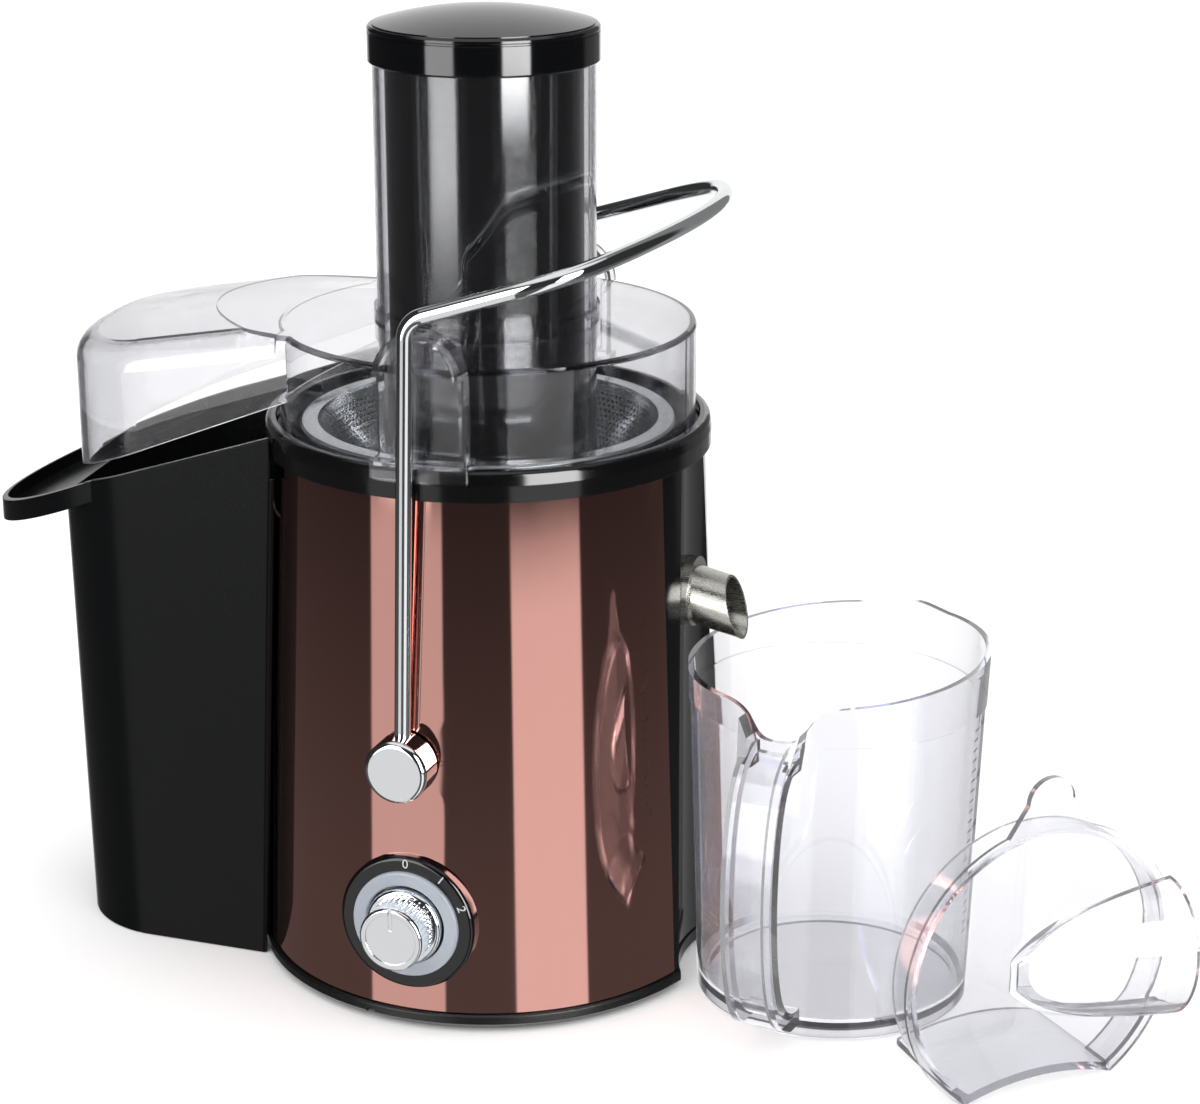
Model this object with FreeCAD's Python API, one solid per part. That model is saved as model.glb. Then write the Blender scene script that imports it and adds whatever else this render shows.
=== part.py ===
"""Centrifugal juicer with a metal-wrapped motor base, locking bail, pulp container, jug and froth separator.

Millimetres. +Z is up. The origin is on the motor axis, on the surface that the juicer stands on.
-Y is the front, with the speed knob. +X is the juice spout and the jug. -X is the pulp container.
Angles about the motor axis are measured from the front towards +X.
"""
import FreeCAD, Part
import math
import os

Vec = FreeCAD.Vector
X_AXIS = Vec(1, 0, 0)
Y_AXIS = Vec(0, 1, 0)
Z_AXIS = Vec(0, 0, 1)

# ---------------------------------------------------------------- driving sizes
# round fits, from the sieve outwards
SIEVE_RIM_RADIUS = 69.3
SIEVE_GAP = 3.3                 # between the spinning rim and the bowl's wall
BOWL_WALL = 2.2
BOWL_RADIUS = SIEVE_RIM_RADIUS + SIEVE_GAP + BOWL_WALL
BOWL_FLANGE_WIDTH = 3.0
BOWL_FLANGE_RADIUS = BOWL_RADIUS + BOWL_FLANGE_WIDTH
BOWL_FLANGE_GAP = 0.4
RING_LEDGE_RADIUS = BOWL_RADIUS + 0.6
RING_BORE_RADIUS = BOWL_FLANGE_RADIUS + BOWL_FLANGE_GAP
NECK_RADIUS = RING_BORE_RADIUS + 1.8        # housing, under the top ring
RING_RADIUS = NECK_RADIUS + 2.4
BASE_FLARE = 7.2                # how much wider the housing is at the base plate than at the neck
BASE_RADIUS = NECK_RADIUS + BASE_FLARE
LID_RADIUS = BOWL_FLANGE_RADIUS - 1.3

# motor base
FOOT_RADIUS = 8.0
FOOT_STAND = 1.8                # how far the feet hold the base plate off the table
FOOT_INSET = 1.4                # how deep a foot sits in the base plate
FOOT_CIRCLE = BASE_RADIUS - 11.2
PLINTH_RADIUS = BASE_RADIUS + 1.5
PLINTH_THICK = 4.6
PLINTH_NOTCH_DEG = -10.0
PLINTH_NOTCH_WIDTH = 4.0
PLINTH_NOTCH_HEIGHT = 2.2
NECK_Z = 199.0
HOUSING_WALL = 2.6
DECK_Z = 124.0
DECK_THICK = 3.0
RING_HEIGHT = 11.0
RING_UPRIGHT = 6.0              # height of the ring's upright face, below its shoulder
RING_DRAW = 0.7                 # how far the face leans in above that
RING_SHOULDER = 2.2
RING_SEAT = 4.0                 # height of the ring's inner ledge, which carries the bowl
PANEL_THICK = 0.5
PANEL_LEFT_DEG = -54.0
PANEL_RIGHT_DEG = 71.3
PANEL_END_GAP = 0.8
SCREW_CIRCLE = BASE_RADIUS - 7.6
SCREW_POST_RADIUS = 4.6
SCREW_POST_HEIGHT = 34.0
SCREW_RADIUS = 1.9
SCREW_HEAD_RADIUS = 3.4
SCREW_HEAD_THICK = 2.4
SCREW_LENGTH = 20.0
VENT_COUNT = 9
VENT_WIDTH = 2.6
VENT_HEIGHT = 26.0
VENT_PITCH_DEG = 4.6
VENT_Z = 62.0
GLAND_X = 26.0
GLAND_Z = 22.0
GLAND_RADIUS = 5.6
GLAND_FLANGE_RADIUS = 8.4
GLAND_BORE_RADIUS = 3.7
GLAND_LENGTH = 12.0

# juice bowl and spout
BOWL_FLOOR_Z = 136.4
BOWL_FLOOR_THICK = 2.6
BOWL_FLANGE_THICK = 2.6
BOWL_TOWER_RADIUS = 15.0
BOWL_TOWER_HEIGHT = 9.0
SEAL_RADIUS = 10.0
SEAL_THICK = 5.0
SPOUT_RADIUS = 10.7
SPOUT_WALL = 0.9
SPOUT_SLOPE_DEG = 12.3
SPOUT_MID_X = BOWL_RADIUS + 1.2
SPOUT_MID_Z = 147.9
SPOUT_END_X = BOWL_RADIUS + 21.7
SPOUT_CUT_DEG = 15.3            # how far the outlet leans back from upright
SPOUT_COLLAR_RADIUS = 13.0
SPOUT_COLLAR_LENGTH = 6.5

# drive and sieve
SHAFT_RADIUS = 4.0
SHAFT_LOW_Z = 15.0
SHAFT_TOP_Z = 160.0
SIEVE_BASE_RADIUS = 47.0
SIEVE_BASE_Z = 165.0
SIEVE_BASE_THICK = 3.0
SIEVE_TOP_RADIUS = SIEVE_RIM_RADIUS - 5.6
SIEVE_TOP_Z = 207.0
SIEVE_WALL = 0.9
SIEVE_RIM_THICK = 1.6
SIEVE_RIM_DROP = 4.0
SIEVE_HUB_RADIUS = 15.5
SIEVE_HUB_LENGTH = 13.0
COUPLING_RADIUS = 11.5
COUPLING_LENGTH = 11.0
GRATER_RADIUS = 43.5
GRATER_THICK = 0.9
TOOTH_HEIGHT = 1.3
TOOTH_LENGTH = 2.6
TOOTH_WIDTH = 1.0
TOOTH_RINGS = 5
TOOTH_PITCH = 8.0

# motor
STATOR_X = 76.0
STATOR_Y = 64.0
STATOR_Z = 64.0
STACK_HEIGHT = 28.0
ROTOR_RADIUS = 19.2
AIR_GAP = 0.4
COIL_HEIGHT = 9.0
COIL_HALF_WIDTH = 28.5
COIL_SIDE = 7.0
COIL_NEAR_Y = 17.0
COIL_FAR_Y = 25.0
COMMUTATOR_RADIUS = 12.0
COMMUTATOR_Z = 34.0
COMMUTATOR_HEIGHT = 15.0
BEARING_RADIUS = 11.0
BEARING_HEIGHT = 7.0
BRACKET_THICK = 2.5
BRACKET_LOW_Z = 24.0
BRACKET_TOP_Z = 113.0
BRACKET_WIDTH = 30.0
TIE_RADIUS = 2.0
TIE_X = 33.0
TIE_Y = 11.0
FAN_RADIUS = 29.0
FAN_HEIGHT = 8.0
FAN_BLADES = 9
BRUSH_WIDTH = 9.0
BRUSH_HEIGHT = 10.0
BRUSH_LENGTH = 20.0
MOUNT_RADIUS = 6.0
BOARD_Y = 60.0
BOARD_WIDTH = 56.0
BOARD_HEIGHT = 46.0
INTERLOCK_LENGTH = 20.0
INTERLOCK_HEIGHT = 8.0
INTERLOCK_DEPTH = 14.0          # from the neck's radius to the switch's back
BOARD_THICK = 1.6
# (x, height on the board, width, height, depth) of the capacitor, choke, regulator and connector
BOARD_PARTS = ((-16.0, 30.0, 12.0, 12.0, 10.0), (6.0, 32.0, 16.0, 9.0, 12.0),
               (20.0, 18.0, 7.0, 14.0, 8.0), (-14.0, 13.0, 16.0, 8.0, 9.0))

# speed knob
KNOB_Z = 40.8
DIAL_RADIUS = 25.8
DIAL_FACE_Y = -BASE_RADIUS - 0.6
DIAL_EDGE = 1.6
DIAL_RING_RADIUS = 20.2
DIAL_RING_INNER = 15.0
DIAL_RING_PROUD = 1.6
DIAL_RING_DEPTH = 1.0
KNOB_BASE_RADIUS = 14.3
KNOB_BASE_LENGTH = 3.6
KNOB_RADIUS = 12.0
KNOB_FACE_Y = DIAL_FACE_Y - 15.2
KNOB_FLUTES = 36
KNOB_FLUTE_DEPTH = 0.45
KNOB_STEM_RADIUS = 3.0
SWITCH_SIZE = 28.0
SWITCH_DEPTH = 20.0
SWITCH_BUSH_RADIUS = 6.0

# locking bail
BAIL_Y = BASE_RADIUS + 0.8
BAIL_WIRE_RADIUS = 2.95
BAIL_PIVOT_Z = 102.0
BAIL_BEND_X = 4.5
BAIL_BEND_Z = 264.0
BAIL_BEND_RADIUS = 9.0
BAIL_SLOPE_DEG = 17.5
BAIL_INWARD_DEG = 4.2
BAIL_RUN = 41.0
BAIL_CORNER_RADIUS = 31.0
BAIL_NOSE_HALF_DEG = 26.0
BAIL_CAP_RADIUS = 11.75
BAIL_CAP_FACE_Y = BAIL_Y + 8.0
BAIL_CAP_GAP = 0.9
BAIL_PIN_RADIUS = 5.0
BAIL_PIN_LENGTH = 12.0
BUSH_RADIUS = 7.5
BUSH_FLANGE_RADIUS = 10.0
BUSH_LENGTH = 7.4

# lid and feed tube
LID_WALL = 2.4
LID_TOP_Z = 244.6
LID_BOTTOM_Z = 206.0
CHUTE_HALF_WIDTH = 50.0
CHUTE_END_X = -BASE_RADIUS - 70.8
CHUTE_CORNER_RADIUS = 38.0
CHUTE_EDGE_RADIUS = 11.0          # round the roof's edge
CHUTE_FOOT_Z = 218.5            # lower edge of the chute's side wall, at the lid
CHUTE_FOOT_SLOPE = 0.40
CHUTE_ROOT_X = -62.0
CHUTE_ROOF_SLOPE = 0.18
CHUTE_CROWN_RISE = 7.8          # of the arched roof over the lid's top, if it ran on to the chute's root
CHUTE_ARCH_RADIUS = 230.0
CHUTE_ARCH_Y = 8.0
CHUTE_STEP = 0.5                # from the lid's top down to the highest part of the chute
LUG_RADIUS = 16.0
LUG_X = 5.5
LUG_THICK = 5.0
LUG_LIP = 4.0
LUG_LIP_THICK = 2.4
LUG_TOP_Z = 258.0
TAB_HALF_WIDTH = 17.5
TAB_THICK = 1.5
TAB_DROP = 4.0
TUBE_RADIUS = 40.0
TUBE_WALL = 2.5
TUBE_LOW_Z = 174.0
TUBE_TOP_Z = 338.0
TUBE_COLLAR_RADIUS = 41.2
TUBE_COLLAR_HEIGHT = 5.6

# pusher
PUSHER_RADIUS = 35.6
PUSHER_WALL = 2.2
PUSHER_LOW_Z = 176.5
CAP_RADIUS = 41.5
CAP_HEIGHT = 13.3
CAP_DOME = 6.0
CAP_GROOVE = 0.5
CAP_SEAT_GAP = 0.3

# pulp container
BIN_END_X = CHUTE_END_X - 8.0
BIN_HALF_WIDTH = 53.5
BIN_CORNER_RADIUS = 42.0
BIN_SIDE_RADIUS = 2.0           # edges beside the motor base
BIN_TOP_Z = 215.0               # height at which the container would reach its full size
BIN_DRAFT = 3.0
BIN_WALL = 2.2
BIN_FLOOR = 2.5
BIN_GAP = 0.8
BIN_RIM_Z = 207.5               # rim beside the motor base, on the middle plane
BIN_RIM_X = -74.0
BIN_RIM_SLOPE = 0.33
BIN_RIM_TILT = 0.07             # rise of the rim from front to rear
BIN_BACK_X = -112.0             # where the low rim beside the motor base starts
BIN_BACK_RIM_Z = 176.0
BIN_LIP_REACH = 34.0
BIN_LIP_ROOT = 26.0             # how far the lip's widest place is inside the container's end
BIN_LIP_HALF_WIDTH = 50.5
BIN_LIP_SLOPE = 0.40
BIN_LIP_THICK = 8.0
BIN_LIP_EDGE = 2.2
BIN_LIP_FLOOR = 2.4

# jug
JUG_X = BASE_RADIUS + 48.4
JUG_Y = -1.5
JUG_BAY_RADIUS = 58.0
JUG_FOOT_RADIUS = 50.4
JUG_SHOULDER_RADIUS = 53.9
JUG_RIM_RADIUS = 55.0
JUG_SHOULDER_Z = 115.0
JUG_STEP = 0.5                  # width of the step round the wall, at the shoulder
JUG_RIM_Z = 130.7               # rim's plane, on the jug's axis
JUG_RIM_TILT_X = 0.074
JUG_RIM_TILT_Y = 0.038
JUG_WALL = 2.2
JUG_FLOOR_Z = 3.0
JUG_FLOOR_THICK = 3.2
JUG_FOOT_WALL = 3.0
JUG_DIP_DEG = -7.9
JUG_DIP = ((0.0, 13.1), (3.2, 12.9), (6.3, 12.1), (10.1, 8.2), (13.2, 3.7), (17.5, 1.1), (24.0, 0.0))
JUG_HANDLE_DEG = -9.0
JUG_HANDLE_BOW = 25.0
JUG_HANDLE_WIDTH = 19.0
JUG_HANDLE_RIB = 3.4
JUG_HANDLE_DEPTH = 6.6
JUG_HANDLE_WEB = 2.6
JUG_HANDLE_TOP_Z = 114.9
JUG_HANDLE_LOW_Z = 6.0
JUG_FLARE_LOW_Z = 106.0         # where the handle's ribs start to spread towards the rim
JUG_FLARE_OUT = 3.6
JUG_FLARE_REACH = 13.0
JUG_BEAK_DEG = 168.0
JUG_BEAK_RADIUS = 62.0
JUG_BEAK_TIP = 20.0
JUG_BEAK_BITE = 1.5             # how far inside the wall the beak's flanks end
JUG_BEAK_SPREAD_DEG = 5.0
JUG_BEAK_LOW_Z = 101.0
JUG_BEAK_SHIFT = 10.0

# froth separator, the jug's own cover, which stands beside the jug on its long wall
COVER_X = 226.0
COVER_Y = -60.0
COVER_YAW_DEG = 44.0
COVER_RADIUS = 54.4
COVER_THICK = 2.4
COVER_SKIRT_RADIUS = 52.2
COVER_SKIRT_WALL = 2.0
COVER_SKIRT_DEPTH = 14.0
COVER_CUT_HALF_WIDTH = 30.2
COVER_CUT_BOW = 5.0
COVER_WALL_DEPTH = 48.0
COVER_WALL_TAPER = 1.5
COVER_TAB_RADIUS = 9.0
COVER_TAB_REACH = 72.0
COVER_TAB_ROOT = 19.0
HOOD_AXIS_V = 0.5
HOOD_END_U = 50.5
# places along the hood, each with its half height and its bulge
HOOD_SECTIONS = ((-14.0, 6.0, 0.8), (2.0, 17.0, 6.0), (22.0, 22.0, 13.0), (42.0, 25.0, 18.5),
                 (66.0, 26.0, 21.0))
HOOD_SHRINK = 0.9               # of the hollow's sections to the hood's
HOOD_WALL = 3.0                 # how far along the hood the hollow lags behind its outside

FAR = 400.0                     # reach of a cut that passes the whole juicer

# ---------------------------------------------------------------- fits
RUN_CLEAR = 0.05                # shaft in its bearing, radial
PIN_CLEAR = 0.06                # bail pin in its bush, radial
SLIP_CLEAR = 0.3                # between pieces of different bodies that pass each other
SEAT_CLEAR = 0.1                # a piece dropped into its own seat

# ---------------------------------------------------------------- places worked out from the sizes
BASE_Z = FOOT_STAND + PLINTH_THICK
RING_TOP_Z = NECK_Z + RING_HEIGHT
LEDGE_Z = NECK_Z + RING_SEAT
BOWL_FLOOR_TOP = BOWL_FLOOR_Z + BOWL_FLOOR_THICK
TOWER_TOP = BOWL_FLOOR_TOP + BOWL_TOWER_HEIGHT
STACK_TOP = STATOR_Z + STACK_HEIGHT
COVER_CUT_DROP = math.sqrt(COVER_RADIUS ** 2 - COVER_CUT_HALF_WIDTH ** 2)
COVER_CUT_RADIUS = (COVER_CUT_HALF_WIDTH ** 2 + COVER_CUT_BOW ** 2) / (2 * COVER_CUT_BOW)
BEARING_LOW_Z = BRACKET_LOW_Z + BRACKET_THICK - BEARING_HEIGHT - 0.5
BEARING_TOP_Z = BRACKET_TOP_Z + 0.5
SCREW_ANGLES = (-30, 30, 150, 210)
FOOT_ANGLES = (-45, 45, 135, 225)
FOOT_PLACES = [(FOOT_CIRCLE * math.sin(math.radians(a)), -FOOT_CIRCLE * math.cos(math.radians(a)))
               for a in FOOT_ANGLES]
TIE_PLACES = [(-TIE_X, -TIE_Y), (TIE_X, TIE_Y)]
MOUNT_PLACES = [(TIE_X - 1, -8), (-TIE_X + 1, 8), (21, 8), (-21, -8)]


# ---------------------------------------------------------------- shape helpers
def heading(deg):
    """Unit vector at an angle from the front (-Y) towards +X."""
    a = math.radians(deg)
    return Vec(math.sin(a), -math.cos(a), 0)


def around(deg, radius, z):
    """Point at an angle from the front, a radius and a height."""
    p = heading(deg) * radius
    return Vec(p.x, p.y, z)


def lathe(points, centre=(0, 0)):
    """Solid turned about a vertical axis from (radius, z) corners."""
    ring = [Vec(r, 0, z) for r, z in points]
    face = Part.Face(Part.makePolygon(ring + [ring[0]]))
    solid = face.revolve(Vec(0, 0, 0), Z_AXIS, 360)
    solid.translate(Vec(centre[0], centre[1], 0))
    return solid


def rod(radius, z0, z1, centre=(0, 0)):
    return Part.makeCylinder(radius, z1 - z0, Vec(centre[0], centre[1], z0), Z_AXIS)


def pipe(radius, bore, z0, z1, centre=(0, 0)):
    return rod(radius, z0, z1, centre).cut(rod(bore, z0 - 1, z1 + 1, centre))


def bar(radius, start, end):
    """Cylinder between two points."""
    run = end - start
    return Part.makeCylinder(radius, run.Length, start, run)


def block(x0, x1, y0, y1, z0, z1):
    return Part.makeBox(x1 - x0, y1 - y0, z1 - z0, Vec(x0, y0, z0))


def prism_z(outline, z0, z1):
    """Vertical prism over a closed wire or a list of (x, y) corners."""
    if isinstance(outline, list):
        ring = [Vec(x, y, 0) for x, y in outline]
        outline = Part.makePolygon(ring + [ring[0]])
    solid = Part.Face(outline).extrude(Vec(0, 0, z1 - z0))
    solid.translate(Vec(0, 0, z0))
    return solid


def prism_y(corners, y0, y1):
    """Prism along Y over (x, z) corners."""
    ring = [Vec(x, y0, z) for x, z in corners]
    return Part.Face(Part.makePolygon(ring + [ring[0]])).extrude(Vec(0, y1 - y0, 0))


def prism_x(corners, x0, x1):
    """Prism along X over (y, z) corners."""
    ring = [Vec(x0, y, z) for y, z in corners]
    return Part.Face(Part.makePolygon(ring + [ring[0]])).extrude(Vec(x1 - x0, 0, 0))


def sector(deg0, deg1, radius, z0, z1):
    """Wedge of a disc about the motor axis between two angles from the front."""
    mid = (deg0 + deg1) / 2
    corners = [Vec(0, 0, z0), around(deg0, radius, z0)]
    reach = radius / math.cos(math.radians((deg1 - deg0) / 4))
    corners += [around((deg0 + mid) / 2, reach, z0), around(mid, radius, z0)]
    corners += [around((deg1 + mid) / 2, reach, z0), around(deg1, radius, z0)]
    return Part.Face(Part.makePolygon(corners + [corners[0]])).extrude(Vec(0, 0, z1 - z0))


def fuse(shapes):
    whole = shapes[0]
    if len(shapes) > 1:
        whole = shapes[0].multiFuse(shapes[1:])
    return whole.removeSplitter()


def flat_edges(shape, y):
    """Edges that lie in the upright plane at y."""
    return [e for e in shape.Edges if abs(e.BoundBox.YMin - y) < 0.01 and e.BoundBox.YLength < 0.01]


def mirrored_y(shape):
    return shape.mirror(Vec(0, 0, 0), Y_AXIS)


def single(shape):
    """The one solid of a boolean result."""
    return max(shape.Solids, key=lambda s: s.Volume)


# ---------------------------------------------------------------- motor base
def housing_radius(z):
    share = (z - BASE_Z) / (NECK_Z - BASE_Z)
    return BASE_RADIUS + (NECK_RADIUS - BASE_RADIUS) * share


def housing_cone(grow, z0, z1):
    """Cone that follows the housing's outer surface, grown outwards."""
    return lathe([(0, z0), (housing_radius(z0) + grow, z0), (housing_radius(z1) + grow, z1), (0, z1)])


def jug_bay(grow, z0, z1):
    """Hollow in the base's side that the jug stands in."""
    return rod(JUG_BAY_RADIUS + grow, z0, z1, (JUG_X, 0))


def spout_point(x):
    return Vec(x, 0, SPOUT_MID_Z - (x - SPOUT_MID_X) * math.tan(math.radians(SPOUT_SLOPE_DEG)))


def spout_rod(radius, x0, x1):
    return bar(radius, spout_point(x0), spout_point(x1))


def collar_rod(radius, x0, x1):
    """Level cylinder at the spout's root."""
    return bar(radius, Vec(x0, 0, SPOUT_MID_Z), Vec(x1, 0, SPOUT_MID_Z))


def make_motor_housing():
    outer = housing_cone(0, BASE_Z, NECK_Z).cut(jug_bay(0, 0, NECK_Z + 1))
    inner = housing_cone(-HOUSING_WALL, BASE_Z - 1, NECK_Z + 1).cut(jug_bay(HOUSING_WALL, 0, NECK_Z + 2))
    shell = outer.cut(inner)
    deck = housing_cone(-HOUSING_WALL / 2, DECK_Z, DECK_Z + DECK_THICK)
    deck = deck.cut(jug_bay(HOUSING_WALL / 2, 0, NECK_Z))
    deck = deck.cut(rod(SHAFT_RADIUS + 2, DECK_Z - 1, DECK_Z + DECK_THICK + 1))
    posts = []
    for deg in SCREW_ANGLES:
        foot = around(deg, SCREW_CIRCLE, BASE_Z)
        posts.append(rod(SCREW_POST_RADIUS, BASE_Z, BASE_Z + SCREW_POST_HEIGHT, (foot.x, foot.y)))
    body = fuse([shell, deck] + posts)
    body = body.cut(panel_band(0.001, PANEL_THICK, PANEL_END_GAP / 2))
    for deg in SCREW_ANGLES:
        foot = around(deg, SCREW_CIRCLE, BASE_Z)
        body = body.cut(rod(SCREW_RADIUS, BASE_Z - 1, BASE_Z + SCREW_LENGTH, (foot.x, foot.y)))
    pin_hole = bar(BUSH_RADIUS, Vec(0, -FAR, BAIL_PIVOT_Z), Vec(0, FAR, BAIL_PIVOT_Z))
    stem_hole = bar(SWITCH_BUSH_RADIUS, Vec(0, -FAR, KNOB_Z), Vec(0, 0, KNOB_Z))
    gland_hole = bar(GLAND_RADIUS, Vec(GLAND_X, BASE_RADIUS / 2, GLAND_Z), Vec(GLAND_X, FAR, GLAND_Z))
    spout_hole = collar_rod(SPOUT_COLLAR_RADIUS, SPOUT_MID_X - 20, SPOUT_END_X)
    body = body.cut(pin_hole).cut(stem_hole).cut(gland_hole).cut(spout_hole)
    for k in range(VENT_COUNT):
        deg = 180 + (k - (VENT_COUNT - 1) / 2) * VENT_PITCH_DEG
        slot = block(-VENT_WIDTH / 2, VENT_WIDTH / 2, BASE_RADIUS - 14, BASE_RADIUS + 4,
                     VENT_Z, VENT_Z + VENT_HEIGHT)
        slot.rotate(Vec(0, 0, 0), Z_AXIS, deg - 180)
        body = body.cut(slot)
    return single(body)


def panel_band(grow_out, depth, end_gap):
    """Band of the housing's skin between the panel's two ends, widened by end_gap at each end."""
    low = BASE_Z + 0.4 - end_gap
    top = NECK_Z - 0.4 + end_gap
    skin = housing_cone(grow_out, low, top).cut(housing_cone(-depth, low - 1, top + 1))
    extra = math.degrees(end_gap / BASE_RADIUS)
    wedge = sector(PANEL_LEFT_DEG - extra, PANEL_RIGHT_DEG + extra, BASE_RADIUS + 30, 0, NECK_Z + 10)
    return skin.common(wedge)


def make_front_panel():
    band = panel_band(0, PANEL_THICK, 0)
    pin_hole = bar(BUSH_RADIUS, Vec(0, -FAR, BAIL_PIVOT_Z), Vec(0, 0, BAIL_PIVOT_Z))
    stem_hole = bar(SWITCH_BUSH_RADIUS, Vec(0, -FAR, KNOB_Z), Vec(0, 0, KNOB_Z))
    return single(band.cut(pin_hole).cut(stem_hole))


def make_top_ring():
    brow = RING_RADIUS - RING_DRAW
    ring = lathe([
        (RING_LEDGE_RADIUS, NECK_Z), (RING_RADIUS, NECK_Z), (RING_RADIUS, NECK_Z + RING_UPRIGHT),
        (brow, RING_TOP_Z), (RING_BORE_RADIUS, RING_TOP_Z), (RING_BORE_RADIUS, LEDGE_Z),
        (RING_LEDGE_RADIUS, LEDGE_Z)])
    rim = [e for e in ring.Edges if e.BoundBox.ZMin > RING_TOP_Z - 0.01 and e.BoundBox.XMax > brow - 0.01]
    return single(ring.makeFillet(RING_SHOULDER, rim))


def make_base_plate():
    edge = 1.2
    plate = lathe([
        (0, FOOT_STAND), (PLINTH_RADIUS - edge, FOOT_STAND), (PLINTH_RADIUS, FOOT_STAND + edge),
        (PLINTH_RADIUS, BASE_Z - edge / 2), (PLINTH_RADIUS - edge / 2, BASE_Z), (0, BASE_Z)])
    plate = plate.cut(jug_bay(-0.6, 0, BASE_Z + 1))
    for x, y in FOOT_PLACES:
        plate = plate.cut(rod(FOOT_RADIUS, 0, FOOT_STAND + FOOT_INSET, (x, y)))
    for deg in SCREW_ANGLES:
        foot = around(deg, SCREW_CIRCLE, 0)
        plate = plate.cut(rod(SCREW_RADIUS, 0, BASE_Z + 1, (foot.x, foot.y)))
        plate = plate.cut(rod(SCREW_HEAD_RADIUS, 0, FOOT_STAND + SCREW_HEAD_THICK, (foot.x, foot.y)))
    for k in range(-3, 4):
        slot = block(-26, 26, k * 7 - 1.4, k * 7 + 1.4, 0, BASE_Z + 1)
        plate = plate.cut(slot)
    notch = block(-PLINTH_NOTCH_WIDTH / 2, PLINTH_NOTCH_WIDTH / 2, -PLINTH_RADIUS - 1, -PLINTH_RADIUS + 4,
                  0, FOOT_STAND + PLINTH_NOTCH_HEIGHT)
    notch.rotate(Vec(0, 0, 0), Z_AXIS, PLINTH_NOTCH_DEG)
    return single(plate.cut(notch))


def make_foot(place):
    x, y = place
    radius, top = FOOT_RADIUS - SEAT_CLEAR, FOOT_STAND + FOOT_INSET
    return lathe([(0, 0), (FOOT_RADIUS - 1.2, 0), (FOOT_RADIUS - 0.6, 0.8), (radius, FOOT_STAND),
                  (radius, top), (0, top)], (x, y))


def make_base_screws():
    screws = []
    for deg in SCREW_ANGLES:
        foot = around(deg, SCREW_CIRCLE, 0)
        centre = (foot.x, foot.y)
        head_top = FOOT_STAND + SCREW_HEAD_THICK
        head = rod(SCREW_HEAD_RADIUS - SEAT_CLEAR, head_top - SCREW_HEAD_THICK + 0.4, head_top, centre)
        shank = rod(SCREW_RADIUS, head_top, BASE_Z + SCREW_LENGTH - 1, centre)
        slot_a = block(foot.x - 2, foot.x + 2, foot.y - 0.5, foot.y + 0.5, 0, FOOT_STAND + 1.2)
        slot_b = block(foot.x - 0.5, foot.x + 0.5, foot.y - 2, foot.y + 2, 0, FOOT_STAND + 1.2)
        screws.append(fuse([head, shank]).cut(slot_a).cut(slot_b))
    return Part.makeCompound(screws)


def make_cord_gland():
    wall_y = math.sqrt(housing_radius(GLAND_Z) ** 2 - GLAND_X ** 2)
    flange = bar(GLAND_FLANGE_RADIUS, Vec(GLAND_X, wall_y - 4, GLAND_Z), Vec(GLAND_X, wall_y + 3, GLAND_Z))
    flange = flange.cut(housing_cone(0, BASE_Z, NECK_Z))
    inner_y = wall_y + 3 - GLAND_LENGTH
    sleeve = bar(GLAND_RADIUS, Vec(GLAND_X, inner_y, GLAND_Z), Vec(GLAND_X, wall_y + 1, GLAND_Z))
    bore = bar(GLAND_BORE_RADIUS, Vec(GLAND_X, wall_y - 20, GLAND_Z), Vec(GLAND_X, wall_y + 8, GLAND_Z))
    return single(fuse([flange, sleeve]).cut(bore))


# ---------------------------------------------------------------- juice bowl and spout
def make_juice_bowl():
    shell = lathe([
        (0, BOWL_FLOOR_Z), (BOWL_RADIUS - 3, BOWL_FLOOR_Z), (BOWL_RADIUS, BOWL_FLOOR_Z + 3),
        (BOWL_RADIUS, LEDGE_Z), (BOWL_FLANGE_RADIUS, LEDGE_Z),
        (BOWL_FLANGE_RADIUS, LEDGE_Z + BOWL_FLANGE_THICK),
        (BOWL_RADIUS - BOWL_WALL, LEDGE_Z + BOWL_FLANGE_THICK),
        (BOWL_RADIUS - BOWL_WALL, BOWL_FLOOR_TOP), (BOWL_TOWER_RADIUS, BOWL_FLOOR_TOP),
        (BOWL_TOWER_RADIUS, TOWER_TOP), (0, TOWER_TOP)])
    shell = shell.cut(rod(SEAL_RADIUS - 2, BOWL_FLOOR_Z - 1, TOWER_TOP + 1))
    shell = shell.cut(rod(SEAL_RADIUS, TOWER_TOP - SEAL_THICK, TOWER_TOP + 1))
    shell = shell.cut(spout_rod(SPOUT_RADIUS, BOWL_RADIUS - 12, BOWL_RADIUS + 8))
    return single(shell)


def make_bowl_seal():
    low = TOWER_TOP - SEAL_THICK
    return single(lathe([
        (SHAFT_RADIUS + 1.2, low), (SEAL_RADIUS, low), (SEAL_RADIUS, TOWER_TOP),
        (SHAFT_RADIUS + 2.5, TOWER_TOP), (SHAFT_RADIUS + RUN_CLEAR, TOWER_TOP - 1.0),
        (SHAFT_RADIUS + RUN_CLEAR, TOWER_TOP - 2.0), (SHAFT_RADIUS + 1.2, TOWER_TOP - 2.6)]))


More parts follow.
